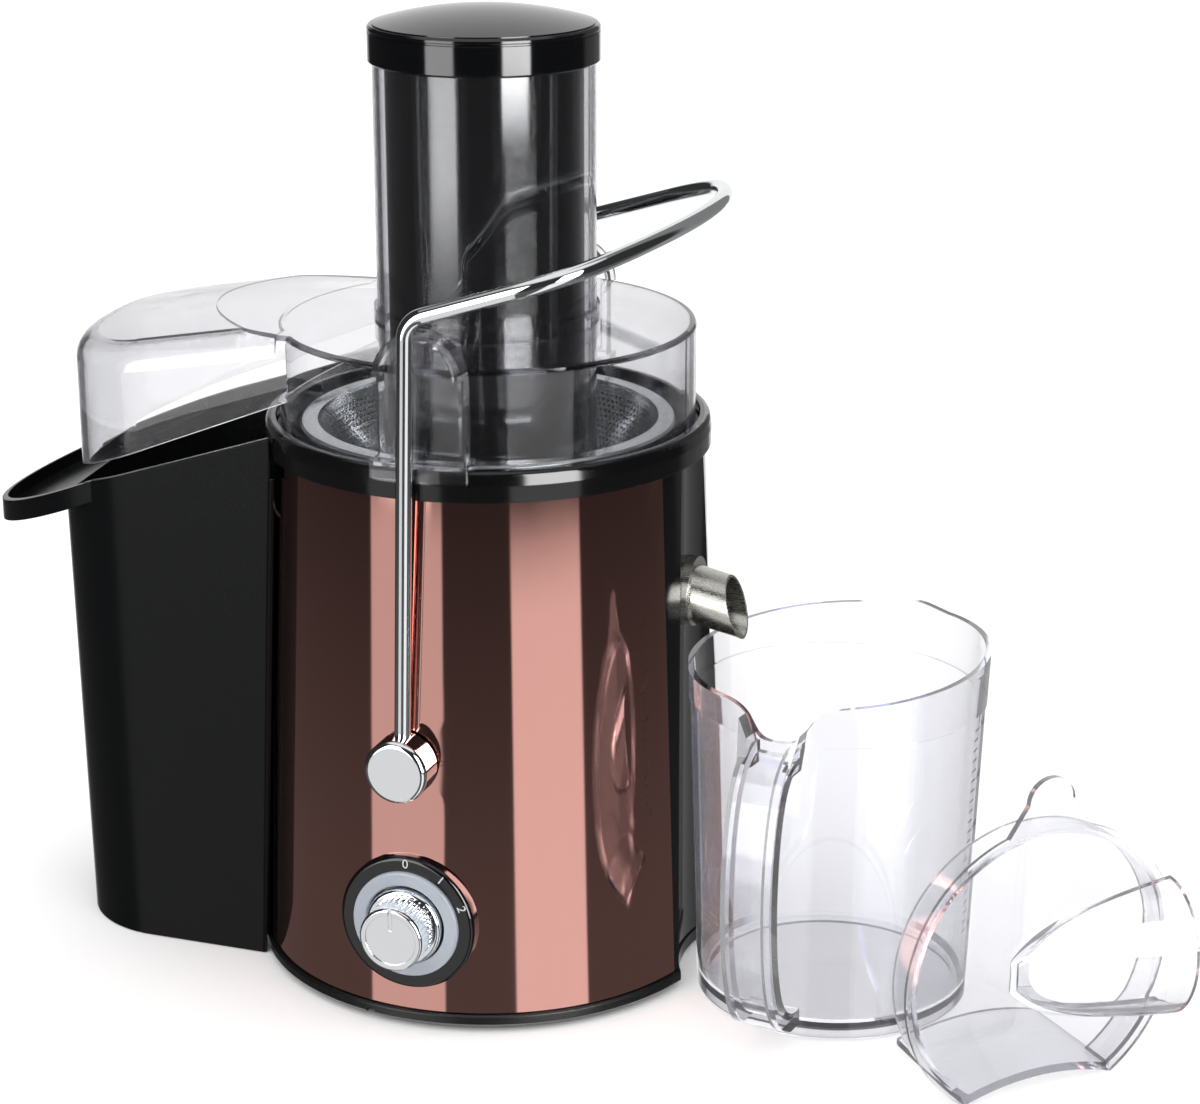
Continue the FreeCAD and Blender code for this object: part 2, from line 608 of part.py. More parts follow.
def make_spout():
    """Tube that slopes down over the jug, from a level collar in the housing's wall."""
    start = BOWL_RADIUS - BOWL_WALL
    tube = spout_rod(SPOUT_RADIUS, start - 6, SPOUT_END_X + 14)
    collar = collar_rod(SPOUT_COLLAR_RADIUS - SEAT_CLEAR, BOWL_RADIUS - 2, BOWL_RADIUS + SPOUT_COLLAR_LENGTH)
    body = fuse([tube, collar.cut(rod(BOWL_RADIUS, 0, NECK_Z))])
    body = body.cut(spout_rod(SPOUT_RADIUS - SPOUT_WALL, start - 12, SPOUT_END_X + 18))
    lean = math.tan(math.radians(SPOUT_CUT_DEG))
    end = spout_point(SPOUT_END_X)
    low, top = end.z - 40, end.z + 40
    reach = prism_y([(start, low), (end.x + 40 * lean, low), (end.x - 40 * lean, top), (start, top)], -20, 20)
    return single(body.common(reach).cut(rod(start, 0, NECK_Z)))


# ---------------------------------------------------------------- motor
def make_stator():
    core = block(-STATOR_X / 2, STATOR_X / 2, -STATOR_Y / 2, STATOR_Y / 2, STATOR_Z, STACK_TOP)
    core = core.common(rod(STATOR_X / 2 + 4, STATOR_Z - 1, STACK_TOP + 1))
    core = core.cut(rod(ROTOR_RADIUS + AIR_GAP, STATOR_Z - 1, STACK_TOP + 1))
    c = SEAT_CLEAR
    for side in (-1, 1):
        inner = COIL_HALF_WIDTH - COIL_SIDE
        slot = block(inner - c, COIL_HALF_WIDTH + c, COIL_NEAR_Y - c, COIL_FAR_Y + c,
                     STATOR_Z - 1, STACK_TOP + 1)
        if side < 0:
            slot = mirrored_y(slot)
        core = core.cut(slot).cut(slot.mirror(Vec(0, 0, 0), X_AXIS))
    for x, y in TIE_PLACES:
        core = core.cut(rod(TIE_RADIUS, STATOR_Z - 1, STACK_TOP + 1, (x, y)))
    return single(core)


def make_field_coil(side):
    """One field coil: down one slot, across the stack's end, up the other slot and back."""
    w, inner = COIL_HALF_WIDTH, COIL_HALF_WIDTH - COIL_SIDE
    frame = block(-w, w, COIL_NEAR_Y, COIL_FAR_Y, STATOR_Z - COIL_HEIGHT, STACK_TOP + COIL_HEIGHT)
    corners = [e for e in frame.Edges if e.BoundBox.YLength > COIL_FAR_Y - COIL_NEAR_Y - 0.1]
    frame = frame.makeFillet(3.0, corners)
    frame = frame.cut(block(-inner, inner, COIL_NEAR_Y - 1, COIL_FAR_Y + 1, STATOR_Z, STACK_TOP))
    return frame if side > 0 else mirrored_y(frame)


def make_bracket(z, bearing_low):
    """Strip with a bearing cup and two tie holes."""
    half = TIE_X + 6
    strip = block(-half, half, -BRACKET_WIDTH / 2, BRACKET_WIDTH / 2, z, z + BRACKET_THICK)
    cup_low = min(z, bearing_low)
    cup_top = max(z + BRACKET_THICK, bearing_low + BEARING_HEIGHT)
    cup = rod(BEARING_RADIUS + 2.5, cup_low, cup_top)
    body = fuse([strip, cup]).cut(rod(BEARING_RADIUS, bearing_low, bearing_low + BEARING_HEIGHT))
    body = body.cut(rod(SHAFT_RADIUS + 3, cup_low - 1, cup_top + 1))
    for x, y in TIE_PLACES:
        body = body.cut(rod(TIE_RADIUS, z - 1, z + BRACKET_THICK + 1, (x, y)))
    return single(body)


def make_bearing(low):
    return single(pipe(BEARING_RADIUS, SHAFT_RADIUS + RUN_CLEAR, low, low + BEARING_HEIGHT))


def make_tie_bolts():
    """Two bolts that clamp brackets and stator, with spacer sleeves between them."""
    low, top = BRACKET_LOW_Z, BRACKET_TOP_Z + BRACKET_THICK
    bolts = []
    for x, y in TIE_PLACES:
        shank = rod(TIE_RADIUS, low, top, (x, y))
        head = rod(TIE_RADIUS * 1.9, top, top + 2.6, (x, y))
        nut = rod(TIE_RADIUS * 1.9, low - 2.6, low, (x, y))
        lower = pipe(TIE_RADIUS * 1.6, TIE_RADIUS / 2, low + BRACKET_THICK, STATOR_Z, (x, y))
        upper = pipe(TIE_RADIUS * 1.6, TIE_RADIUS / 2, STACK_TOP, BRACKET_TOP_Z, (x, y))
        bolts.append(fuse([shank, head, nut, lower, upper]))
    return Part.makeCompound(bolts)


def make_brush(side):
    """Carbon brush in its holder, which stands on the lower bracket."""
    near = COMMUTATOR_RADIUS + SLIP_CLEAR
    mid = COMMUTATOR_Z + COMMUTATOR_HEIGHT / 2
    holder = block(near, near + BRUSH_LENGTH, -BRUSH_WIDTH / 2, BRUSH_WIDTH / 2,
                   mid - BRUSH_HEIGHT / 2, mid + BRUSH_HEIGHT / 2)
    holder = holder.cut(rod(near, mid - BRUSH_HEIGHT, mid + BRUSH_HEIGHT))
    stand = block(near + 6, near + BRUSH_LENGTH - 2, -BRUSH_WIDTH / 2, BRUSH_WIDTH / 2,
                  BRACKET_LOW_Z + BRACKET_THICK, mid)
    body = fuse([holder, stand])
    if side < 0:
        body = body.mirror(Vec(0, 0, 0), X_AXIS)
    return single(body)


def make_motor_mount(place):
    """Rubber buffer between the upper bracket and the deck."""
    x, y = place
    return rod(MOUNT_RADIUS, BRACKET_TOP_Z + BRACKET_THICK, DECK_Z, (x, y))


def make_circuit_board():
    half = BOARD_WIDTH / 2
    parts = [block(-half, half, BOARD_Y, BOARD_Y + BOARD_THICK, BASE_Z, BASE_Z + BOARD_HEIGHT)]
    for x, z, w, h, d in BOARD_PARTS:
        mid = BASE_Z + z
        parts.append(block(x - w / 2, x + w / 2, BOARD_Y - d, BOARD_Y, mid - h / 2, mid + h / 2))
    return single(fuse(parts))


def make_rotary_switch():
    """Speed switch behind the front wall; its threaded bush passes through the wall."""
    half = SWITCH_SIZE / 2
    front = -(housing_radius(KNOB_Z) - HOUSING_WALL - 4.0)
    body = block(-half, half, front, front + SWITCH_DEPTH, KNOB_Z - half, KNOB_Z + half)
    body = body.common(housing_cone(-HOUSING_WALL, BASE_Z, NECK_Z))
    bush = bar(SWITCH_BUSH_RADIUS, Vec(0, DIAL_FACE_Y + 1.2, KNOB_Z), Vec(0, front + 2, KNOB_Z))
    bore = bar(KNOB_STEM_RADIUS + RUN_CLEAR, Vec(0, DIAL_FACE_Y - 1, KNOB_Z), Vec(0, front + 10, KNOB_Z))
    return single(fuse([body, bush]).cut(bore))


def make_interlock_switch():
    """Microswitch above the front bail pin, fixed to the inside of the front wall."""
    low = BAIL_PIVOT_Z + BUSH_FLANGE_RADIUS + 1.2
    back = INTERLOCK_DEPTH - NECK_RADIUS
    half = INTERLOCK_LENGTH / 2
    body = block(-half, half, -BASE_RADIUS, back, low, low + INTERLOCK_HEIGHT)
    body = body.common(housing_cone(-HOUSING_WALL, BASE_Z, NECK_Z))
    lever = block(1 - half, half - 4, back - 6, back - 2, low - 0.8, low)
    return single(fuse([body, lever]))


# ---------------------------------------------------------------- drive and sieve
def make_motor_shaft():
    """Shaft with its commutator seat and drive flats at the top."""
    shaft = rod(SHAFT_RADIUS, SHAFT_LOW_Z, SHAFT_TOP_Z)
    return single(shaft)


def make_armature():
    core = pipe(ROTOR_RADIUS, SHAFT_RADIUS, STATOR_Z, STACK_TOP)
    for k in range(12):
        slot = block(ROTOR_RADIUS - 5, ROTOR_RADIUS + 1, -1.2, 1.2, STATOR_Z - 1, STACK_TOP + 1)
        slot.rotate(Vec(0, 0, 0), Z_AXIS, k * 30)
        core = core.cut(slot)
    ends = [pipe(ROTOR_RADIUS - 3, SHAFT_RADIUS, STATOR_Z - 7, STATOR_Z),
            pipe(ROTOR_RADIUS - 3, SHAFT_RADIUS, STACK_TOP, STACK_TOP + 7)]
    return single(fuse([core] + ends))


def make_commutator():
    ring = pipe(COMMUTATOR_RADIUS, SHAFT_RADIUS, COMMUTATOR_Z, COMMUTATOR_Z + COMMUTATOR_HEIGHT)
    riser = pipe(COMMUTATOR_RADIUS + 1.5, SHAFT_RADIUS, COMMUTATOR_Z + COMMUTATOR_HEIGHT - 1.5,
                 COMMUTATOR_Z + COMMUTATOR_HEIGHT)
    return single(fuse([ring, riser]))


def make_fan():
    low = STACK_TOP + COIL_HEIGHT + 1.2
    plate = pipe(FAN_RADIUS, SHAFT_RADIUS, low, low + 1.2)
    hub = pipe(7, SHAFT_RADIUS, low, low + FAN_HEIGHT)
    blades = []
    for k in range(FAN_BLADES):
        blade = block(6, FAN_RADIUS - 0.5, -0.6, 0.6, low + 0.6, low + FAN_HEIGHT)
        blade.rotate(Vec(0, 0, 0), Z_AXIS, k * 360 / FAN_BLADES)
        blades.append(blade)
    return single(fuse([plate, hub] + blades))


def make_drive_coupling():
    """Splined drum on the shaft that the sieve's hub drops over."""
    low = SIEVE_BASE_Z - COUPLING_LENGTH
    drum = rod(COUPLING_RADIUS, low, SIEVE_BASE_Z)
    for k in range(6):
        groove = rod(1.6, low - 1, SIEVE_BASE_Z + 1, (COUPLING_RADIUS, 0))
        groove.rotate(Vec(0, 0, 0), Z_AXIS, k * 60)
        drum = drum.cut(groove)
    return single(drum.cut(rod(SHAFT_RADIUS, low - 1, SHAFT_TOP_Z)))


def make_sieve_base():
    """Moulded floor of the sieve with the hub that drops over the coupling."""
    low = SIEVE_BASE_Z
    disc = rod(SIEVE_BASE_RADIUS, low, low + SIEVE_BASE_THICK)
    hub = rod(SIEVE_HUB_RADIUS, low - SIEVE_HUB_LENGTH, low)
    bore = rod(COUPLING_RADIUS, low - SIEVE_HUB_LENGTH - 1, low)
    keys = []
    for k in range(6):
        key = rod(1.5, low - COUPLING_LENGTH, low, (COUPLING_RADIUS, 0))
        key.rotate(Vec(0, 0, 0), Z_AXIS, k * 60)
        keys.append(key)
    return single(fuse([disc, hub.cut(bore)] + keys))


def make_sieve_mesh():
    """Conical steel sieve, from the floor to the rim."""
    low = SIEVE_BASE_Z + SIEVE_BASE_THICK
    r0, r1, w = SIEVE_BASE_RADIUS, SIEVE_TOP_RADIUS, SIEVE_WALL
    return single(lathe([(r0 - w, low), (r0, low), (r1, SIEVE_TOP_Z), (r1 - w, SIEVE_TOP_Z)]))


def make_sieve_rim():
    """Flat steel rim with a turned-down outer edge."""
    top = SIEVE_TOP_Z + SIEVE_RIM_THICK
    edge = SIEVE_RIM_THICK
    return single(lathe([
        (SIEVE_TOP_RADIUS - SIEVE_WALL, SIEVE_TOP_Z), (SIEVE_RIM_RADIUS - edge, SIEVE_TOP_Z),
        (SIEVE_RIM_RADIUS - edge, SIEVE_TOP_Z - SIEVE_RIM_DROP),
        (SIEVE_RIM_RADIUS, SIEVE_TOP_Z - SIEVE_RIM_DROP),
        (SIEVE_RIM_RADIUS, top - edge / 2), (SIEVE_RIM_RADIUS - edge / 2, top),
        (SIEVE_TOP_RADIUS - SIEVE_WALL, top)]))


def make_grater_disc():
    """Steel disc with rings of small cutting teeth."""
    low = SIEVE_BASE_Z + SIEVE_BASE_THICK
    top = low + GRATER_THICK
    shapes = [rod(GRATER_RADIUS, low, top)]
    for ring in range(TOOTH_RINGS):
        radius = 6.0 + TOOTH_PITCH * ring
        count = int(6 + 6 * ring)
        for k in range(count):
            tooth = prism_y([(0, 0), (TOOTH_LENGTH, 0), (TOOTH_LENGTH, TOOTH_HEIGHT)],
                            -TOOTH_WIDTH / 2, TOOTH_WIDTH / 2)
            tooth.translate(Vec(-TOOTH_LENGTH / 2, 0, 0))
            tooth.rotate(Vec(0, 0, 0), Z_AXIS, 90)
            tooth.translate(Vec(radius, 0, top - 0.05))
            tooth.rotate(Vec(0, 0, 0), Z_AXIS, k * 360 / count + 11 * ring)
            shapes.append(tooth)
    return single(fuse(shapes))


# ---------------------------------------------------------------- speed knob and dial
def make_dial_plate():
    face = Vec(0, DIAL_FACE_Y, KNOB_Z)
    plate = bar(DIAL_RADIUS, face, Vec(0, -DIAL_RADIUS, KNOB_Z))
    rim = flat_edges(plate, DIAL_FACE_Y)
    plate = plate.makeFillet(DIAL_EDGE, rim)
    plate = plate.cut(housing_cone(0, BASE_Z - 1, NECK_Z))
    groove = bar(DIAL_RING_RADIUS + SEAT_CLEAR, face, face + Y_AXIS * DIAL_RING_DEPTH)
    groove = groove.cut(bar(DIAL_RING_INNER - SEAT_CLEAR, face, face + Y_AXIS * DIAL_RING_DEPTH))
    bush = bar(SWITCH_BUSH_RADIUS, face, Vec(0, 0, KNOB_Z))
    return single(plate.cut(groove).cut(bush))


def make_dial_ring():
    """Ribbed light ring round the knob."""
    front = Vec(0, DIAL_FACE_Y - DIAL_RING_PROUD, KNOB_Z)
    back = Vec(0, DIAL_FACE_Y + DIAL_RING_DEPTH, KNOB_Z)
    ring = bar(DIAL_RING_RADIUS, front, back).cut(bar(DIAL_RING_INNER, front, back))
    rims = flat_edges(ring, front.y)
    return single(ring.makeFillet(0.7, rims))


def make_knob_base():
    front = DIAL_FACE_Y - SLIP_CLEAR - KNOB_BASE_LENGTH
    disc = bar(KNOB_BASE_RADIUS, Vec(0, front, KNOB_Z), Vec(0, front + KNOB_BASE_LENGTH, KNOB_Z))
    rim = flat_edges(disc, front)
    disc = disc.makeFillet(1.4, rim)
    stem = bar(KNOB_STEM_RADIUS, Vec(0, front - 1, KNOB_Z), Vec(0, 0, KNOB_Z))
    return single(disc.cut(stem))


def make_speed_knob():
    back = DIAL_FACE_Y - SLIP_CLEAR - KNOB_BASE_LENGTH
    drum = bar(KNOB_RADIUS, Vec(0, KNOB_FACE_Y, KNOB_Z), Vec(0, back, KNOB_Z))
    rim = flat_edges(drum, KNOB_FACE_Y)
    drum = drum.makeFillet(1.0, rim)
    flutes = []
    for k in range(KNOB_FLUTES):
        a = 2 * math.pi * k / KNOB_FLUTES
        r = KNOB_RADIUS + KNOB_FLUTE_DEPTH
        mid = Vec(r * math.sin(a), 0, KNOB_Z + r * math.cos(a))
        start, end = mid + Y_AXIS * (KNOB_FACE_Y + 1.6), mid + Y_AXIS * (back - 0.6)
        flutes.append(bar(2 * KNOB_FLUTE_DEPTH, start, end))
    drum = drum.cut(Part.makeCompound(flutes))
    mark = block(-0.7, 0.7, KNOB_FACE_Y - 1, KNOB_FACE_Y + 0.5, KNOB_Z + 3.5, KNOB_Z + KNOB_RADIUS)
    dish = bar(KNOB_RADIUS - 2.4, Vec(0, KNOB_FACE_Y - 1, KNOB_Z), Vec(0, KNOB_FACE_Y + 0.4, KNOB_Z))
    stem_end = -(housing_radius(KNOB_Z) - HOUSING_WALL - 4.0) + 8.0
    stem = bar(KNOB_STEM_RADIUS, Vec(0, back - 1, KNOB_Z), Vec(0, stem_end, KNOB_Z))
    return single(fuse([drum.cut(mark).cut(dish), stem]))


# ---------------------------------------------------------------- locking bail
def bail_gap_y():
    return housing_radius(BAIL_PIVOT_Z) + BAIL_CAP_GAP


def wire_bend(centre, start, end):
    """Bend of the round wire from a start point to an end point about a centre."""
    axis = (start - centre).cross(end - centre)
    angle = math.degrees((start - centre).getAngle(end - centre))
    tangent = axis.cross(start - centre)
    disc = Part.Face(Part.Wire(Part.makeCircle(BAIL_WIRE_RADIUS, start, tangent)))
    return disc.revolve(centre, axis, angle)


def make_bail_wire():
    """Round wire: two upright arms, two bends, and a loop that slopes up over the lid."""
    slope = math.radians(BAIL_SLOPE_DEG)
    turn0 = math.radians(BAIL_INWARD_DEG)
    turn1 = math.radians(90 - BAIL_NOSE_HALF_DEG)
    along = Vec(math.cos(slope), 0, math.sin(slope))
    bend = Vec(BAIL_BEND_X, BAIL_Y, BAIL_BEND_Z)

    def loop_point(s, t):
        return Vec(bend.x, 0, bend.z) + along * s + Y_AXIS * t

    pivot = Vec(0, BAIL_Y, BAIL_PIVOT_Z)
    run_dir = along * math.cos(turn0) - Y_AXIS * math.sin(turn0)
    arm_dir = (bend - pivot).normalize()
    half = arm_dir.getAngle(run_dir) / 2
    cutback = BAIL_BEND_RADIUS * math.tan(half)
    b0 = bend - arm_dir * cutback
    b1 = bend + run_dir * cutback
    centre = bend + (run_dir - arm_dir).normalize() * (BAIL_BEND_RADIUS / math.cos(half))
    parts = [bar(BAIL_WIRE_RADIUS, pivot, b0), wire_bend(centre, b0, b1)]
    s0, t0 = BAIL_RUN * math.cos(turn0), BAIL_Y - BAIL_RUN * math.sin(turn0)
    parts.append(bar(BAIL_WIRE_RADIUS, b1, loop_point(s0, t0)))
    r = BAIL_CORNER_RADIUS
    cs, ct = s0 - r * math.sin(turn0), t0 - r * math.cos(turn0)
    s1, t1 = cs + r * math.sin(turn1), ct + r * math.cos(turn1)
    parts.append(wire_bend(loop_point(cs, ct), loop_point(s0, t0), loop_point(s1, t1)))
    nose_r = t1 / math.cos(turn1)
    ns = s1 - nose_r * math.sin(turn1)
    parts.append(wire_bend(loop_point(ns, 0), loop_point(s1, t1), loop_point(ns + nose_r, 0)))
    return single(fuse(parts + [mirrored_y(p) for p in parts]))


def make_bail_cap(side):
    """Round end cap with the pivot pin on its back; the wire is held in the cap."""
    y0 = bail_gap_y()
    cap = bar(BAIL_CAP_RADIUS, Vec(0, y0, BAIL_PIVOT_Z), Vec(0, BAIL_CAP_FACE_Y, BAIL_PIVOT_Z))
    rim = flat_edges(cap, BAIL_CAP_FACE_Y)
    cap = cap.makeFillet(2.2, rim)
    pin = bar(BAIL_PIN_RADIUS, Vec(0, y0 - BAIL_PIN_LENGTH, BAIL_PIVOT_Z), Vec(0, y0 + 1, BAIL_PIVOT_Z))
    body = fuse([cap, pin])
    pivot = Vec(0, BAIL_Y, BAIL_PIVOT_Z)
    arm = (Vec(BAIL_BEND_X, BAIL_Y, BAIL_BEND_Z) - pivot).normalize()
    body = body.cut(bar(BAIL_WIRE_RADIUS, pivot, pivot + arm * 30))
    return single(body if side > 0 else mirrored_y(body))


def make_pivot_bush(side):
    outer = housing_radius(BAIL_PIVOT_Z) - 0.2
    inner = outer - BUSH_LENGTH
    bush = bar(BUSH_RADIUS, Vec(0, inner, BAIL_PIVOT_Z), Vec(0, outer, BAIL_PIVOT_Z))
    flange_y = math.sqrt((housing_radius(BAIL_PIVOT_Z) - HOUSING_WALL) ** 2 - BUSH_FLANGE_RADIUS ** 2) - 0.6
    flange = bar(BUSH_FLANGE_RADIUS, Vec(0, inner, BAIL_PIVOT_Z), Vec(0, flange_y, BAIL_PIVOT_Z))
    bore = bar(BAIL_PIN_RADIUS + PIN_CLEAR, Vec(0, inner - 1, BAIL_PIVOT_Z), Vec(0, outer + 1, BAIL_PIVOT_Z))
    body = fuse([bush, flange]).cut(bore)
    return single(body if side > 0 else mirrored_y(body))


# ---------------------------------------------------------------- outlines with rounded corners
def rounded_outline(corners, place):
    """Closed wire through (a, b, radius) corners; place turns (a, b) into a point."""
    count = len(corners)
    edges, ends = [], []
    for i in range(count):
        a, b, r = corners[i]
        here = Vec(a, b, 0)
        before = Vec(corners[i - 1][0], corners[i - 1][1], 0)
        after = Vec(corners[(i + 1) % count][0], corners[(i + 1) % count][1], 0)
        if r <= 0:
            ends.append((here, None, here))
            continue
        u, v = (before - here).normalize(), (after - here).normalize()
        half = u.getAngle(v) / 2
        cutback = r / math.tan(half)
        middle = here + (u + v).normalize() * (r / math.sin(half) - r)
        ends.append((here + u * cutback, middle, here + v * cutback))
    for i in range(count):
        start, middle, end = ends[i]
        if middle is not None:
            edges.append(Part.Arc(place(start), place(middle), place(end)).toShape())
        edges.append(Part.makeLine(place(end), place(ends[(i + 1) % count][0])))
    return Part.Wire(edges)


def flat_xy(z):
    return lambda p: Vec(p.x, p.y, z)


def outline_prism(wire, run):
    return Part.makeFace(wire, "Part::FaceMakerSimple").extrude(run)


# ---------------------------------------------------------------- lid and feed tube
def chute_foot(x):
    """Height of the chute's lower edge."""
    return CHUTE_FOOT_Z - CHUTE_FOOT_SLOPE * (CHUTE_ROOT_X - x)


def chute_crown(x):
    """Height of the highest line of the chute's arched roof, which falls away from the lid."""
    return LID_TOP_Z + CHUTE_CROWN_RISE - CHUTE_ROOF_SLOPE * (CHUTE_ROOT_X - x)


def chute_arch(inset, floor):
    """Arched prism along the chute, drawn in by inset on its sides and roof."""
    end, half = CHUTE_END_X + inset, CHUTE_HALF_WIDTH - inset
    radius, run = CHUTE_ARCH_RADIUS - inset, CHUTE_ROOT_X - end
    centre_z = chute_crown(end) - CHUTE_ARCH_RADIUS

    def on_arch(y):
        return Vec(end, y, centre_z + math.sqrt(radius ** 2 - (y - CHUTE_ARCH_Y) ** 2))

    near, far = on_arch(-half), on_arch(half)
    low_near, low_far = Vec(end, -half, floor), Vec(end, half, floor)
    arch = Part.Arc(near, on_arch(CHUTE_ARCH_Y), far).toShape()
    sides = [Part.makeLine(low_near, near), arch, Part.makeLine(far, low_far),
             Part.makeLine(low_far, low_near)]
    return Part.Face(Part.Wire(sides)).extrude(Vec(run, 0, run * CHUTE_ROOF_SLOPE))


def chute_block(inset):
    """Chute's outer shape, drawn in by inset on its end, sides and roof."""
    end, half = CHUTE_END_X + inset, CHUTE_HALF_WIDTH - inset
    far, floor = CHUTE_ROOT_X, chute_foot(CHUTE_END_X) - FAR
    radius = CHUTE_CORNER_RADIUS - inset
    plan = rounded_outline([(end, -half, radius), (far, -half, 0), (far, half, 0), (end, half, radius)],
                           flat_xy(floor))
    body = outline_prism(plan, Vec(0, 0, 2 * FAR)).common(chute_arch(inset, floor))
    eaves = [e for e in body.Edges
             if e.BoundBox.ZMin > chute_foot(e.BoundBox.XMin) and e.BoundBox.XMin < far - 1]
    body = body.makeFillet(CHUTE_EDGE_RADIUS - inset, eaves)
    top = LID_TOP_Z - CHUTE_STEP - inset
    kept = prism_y([(end - 1, chute_foot(end - 1)), (far, chute_foot(far)), (far, top), (end - 1, top)],
                   -half, half)
    return body.common(kept)


def chute_neck(inset):
    """Straight stretch that joins the chute to the round lid."""
    half = CHUTE_HALF_WIDTH - inset
    side = [(CHUTE_ROOT_X - 1, chute_foot(CHUTE_ROOT_X - 1)), (0, chute_foot(0)), (0, LID_TOP_Z - inset),
            (CHUTE_ROOT_X - 1, LID_TOP_Z - inset)]
    return prism_y(side, -half, half)


def below_foot():
    """All that is below the chute's lower edge, which rises to the rear with the container's rim."""
    rise = BIN_RIM_TILT * CHUTE_HALF_WIDTH
    return tilted_prism([(-FAR, chute_foot(-FAR) + rise), (0, chute_foot(0) + rise), (0, -FAR),
                         (-FAR, chute_foot(-FAR) - 1)], LID_RADIUS)


def make_lid_cover():
    edge = 1.6
    drum = lathe([(0, LID_BOTTOM_Z), (LID_RADIUS, LID_BOTTOM_Z), (LID_RADIUS, LID_TOP_Z - edge),
                  (LID_RADIUS - edge / 3, LID_TOP_Z - edge / 3), (LID_RADIUS - edge, LID_TOP_Z),
                  (0, LID_TOP_Z)])
    neck = chute_neck(0).common(block(CHUTE_ROOT_X, 0, -LID_RADIUS, LID_RADIUS, LID_BOTTOM_Z, LID_TOP_Z))
    outer = fuse([drum, fuse([chute_block(0), neck]).cut(below_foot())])
    room = rod(LID_RADIUS - LID_WALL, LID_BOTTOM_Z - 1, LID_TOP_Z - LID_WALL)
    cover = outer.cut(room).cut(fuse([chute_block(LID_WALL), chute_neck(LID_WALL)]).cut(below_foot()))
    lug, tab = make_lug(), make_tab()
    cover = fuse([cover, lug, tab, mirrored_y(lug), mirrored_y(tab)])
    pocket = lug_pocket()
    cover = cover.cut(pocket).cut(mirrored_y(pocket))
    return single(cover.cut(rod(TUBE_RADIUS, LID_BOTTOM_Z, LID_TOP_Z + 20)))


def lug_faces():
    """Inner and outer faces, in Y, of the ear at the lid's rear."""
    return LID_RADIUS - 2.5, LID_RADIUS - 2.5 + LUG_THICK


def make_lug():
    """Half-round ear on a hollow rib of the lid's rear wall; the bail locks over it."""
    mid_z = LUG_TOP_Z - LUG_RADIUS
    y0, y1 = lug_faces()
    low = RING_TOP_Z + SLIP_CLEAR + 0.2
    ear = bar(LUG_RADIUS, Vec(LUG_X, y0, mid_z), Vec(LUG_X, y1, mid_z))
    rib = block(LUG_X - LUG_RADIUS, LUG_X + LUG_RADIUS, y0 - 4, y1, low, mid_z)
    lip = bar(LUG_RADIUS, Vec(LUG_X, y1 - 1, mid_z), Vec(LUG_X, y1 + LUG_LIP, mid_z))
    lip = lip.cut(bar(LUG_RADIUS - LUG_LIP_THICK, Vec(LUG_X, y1, mid_z), Vec(LUG_X, y1 + LUG_LIP + 1, mid_z)))
    lip = lip.common(block(-40, 40, y0, y1 + LUG_LIP, mid_z, LUG_TOP_Z + 1))
    return fuse([ear, rib, lip]).cut(rod(LID_RADIUS - LID_WALL, low - 1, LID_TOP_Z - LID_WALL))


def lug_pocket():
    """Hollow behind the rib, open to the inside of the lid."""
    half = LUG_RADIUS - LUG_LIP_THICK
    low, top = RING_TOP_Z + 2 * LID_WALL, LID_TOP_Z - LID_WALL
    return block(LUG_X - half, LUG_X + half, LID_RADIUS - 12, lug_faces()[1] - LID_WALL, low, top)


def make_tab():
    """Tab at the lid's rear that hooks over the top ring."""
    reach = RING_RADIUS + SEAT_CLEAR + SLIP_CLEAR
    low = RING_TOP_Z + SLIP_CLEAR + 0.2
    shelf = pipe(reach + TAB_THICK, LID_RADIUS - 1, low, low + 2.0)
    skirt = pipe(reach + TAB_THICK, reach, RING_TOP_Z - TAB_DROP, low + 2.0)
    window = block(LUG_X - TAB_HALF_WIDTH, LUG_X + TAB_HALF_WIDTH, 0, FAR, NECK_Z, LID_TOP_Z)
    return fuse([shelf, skirt]).common(window)


def make_feed_tube():
    tube = rod(TUBE_RADIUS, TUBE_LOW_Z, TUBE_TOP_Z)
    collar = rod(TUBE_COLLAR_RADIUS, LID_TOP_Z, LID_TOP_Z + TUBE_COLLAR_HEIGHT)
    body = fuse([tube, collar]).cut(rod(TUBE_RADIUS - TUBE_WALL, TUBE_LOW_Z - 1, TUBE_TOP_Z + 1))
    return single(body)


# ---------------------------------------------------------------- pusher
def make_pusher_sleeve():
    top = TUBE_TOP_Z + CAP_SEAT_GAP + CAP_HEIGHT / 2
    sleeve = rod(PUSHER_RADIUS, PUSHER_LOW_Z, top)
    sleeve = sleeve.cut(rod(PUSHER_RADIUS - PUSHER_WALL, PUSHER_LOW_Z + PUSHER_WALL, top + 1))
    return single(sleeve)


def make_pusher_cap():
    low = TUBE_TOP_Z + CAP_SEAT_GAP
    rim = low + CAP_HEIGHT
    seat = low + CAP_HEIGHT / 2
    ball = (CAP_RADIUS ** 2 + CAP_DOME ** 2) / (2 * CAP_DOME)
    drum = lathe([(0, low), (CAP_RADIUS - 0.6, low), (CAP_RADIUS, low + 0.6), (CAP_RADIUS, rim - 0.8),
                  (CAP_RADIUS - 0.8, rim), (0, rim)])
    dome = Part.makeSphere(ball, Vec(0, 0, rim + CAP_DOME - ball))
    dome = dome.common(rod(CAP_RADIUS - 1.6, rim - 1, rim + 20))
    body = fuse([drum, dome])
    body = body.cut(rod(PUSHER_RADIUS, low - 1, seat))
    body = body.cut(rod(PUSHER_RADIUS - PUSHER_WALL, low - 1, rim - 1.4))
    mid = rim - 2.6
    groove = pipe(CAP_RADIUS + 1, CAP_RADIUS - CAP_GROOVE, mid, mid + 0.8)
    return single(body.cut(groove))


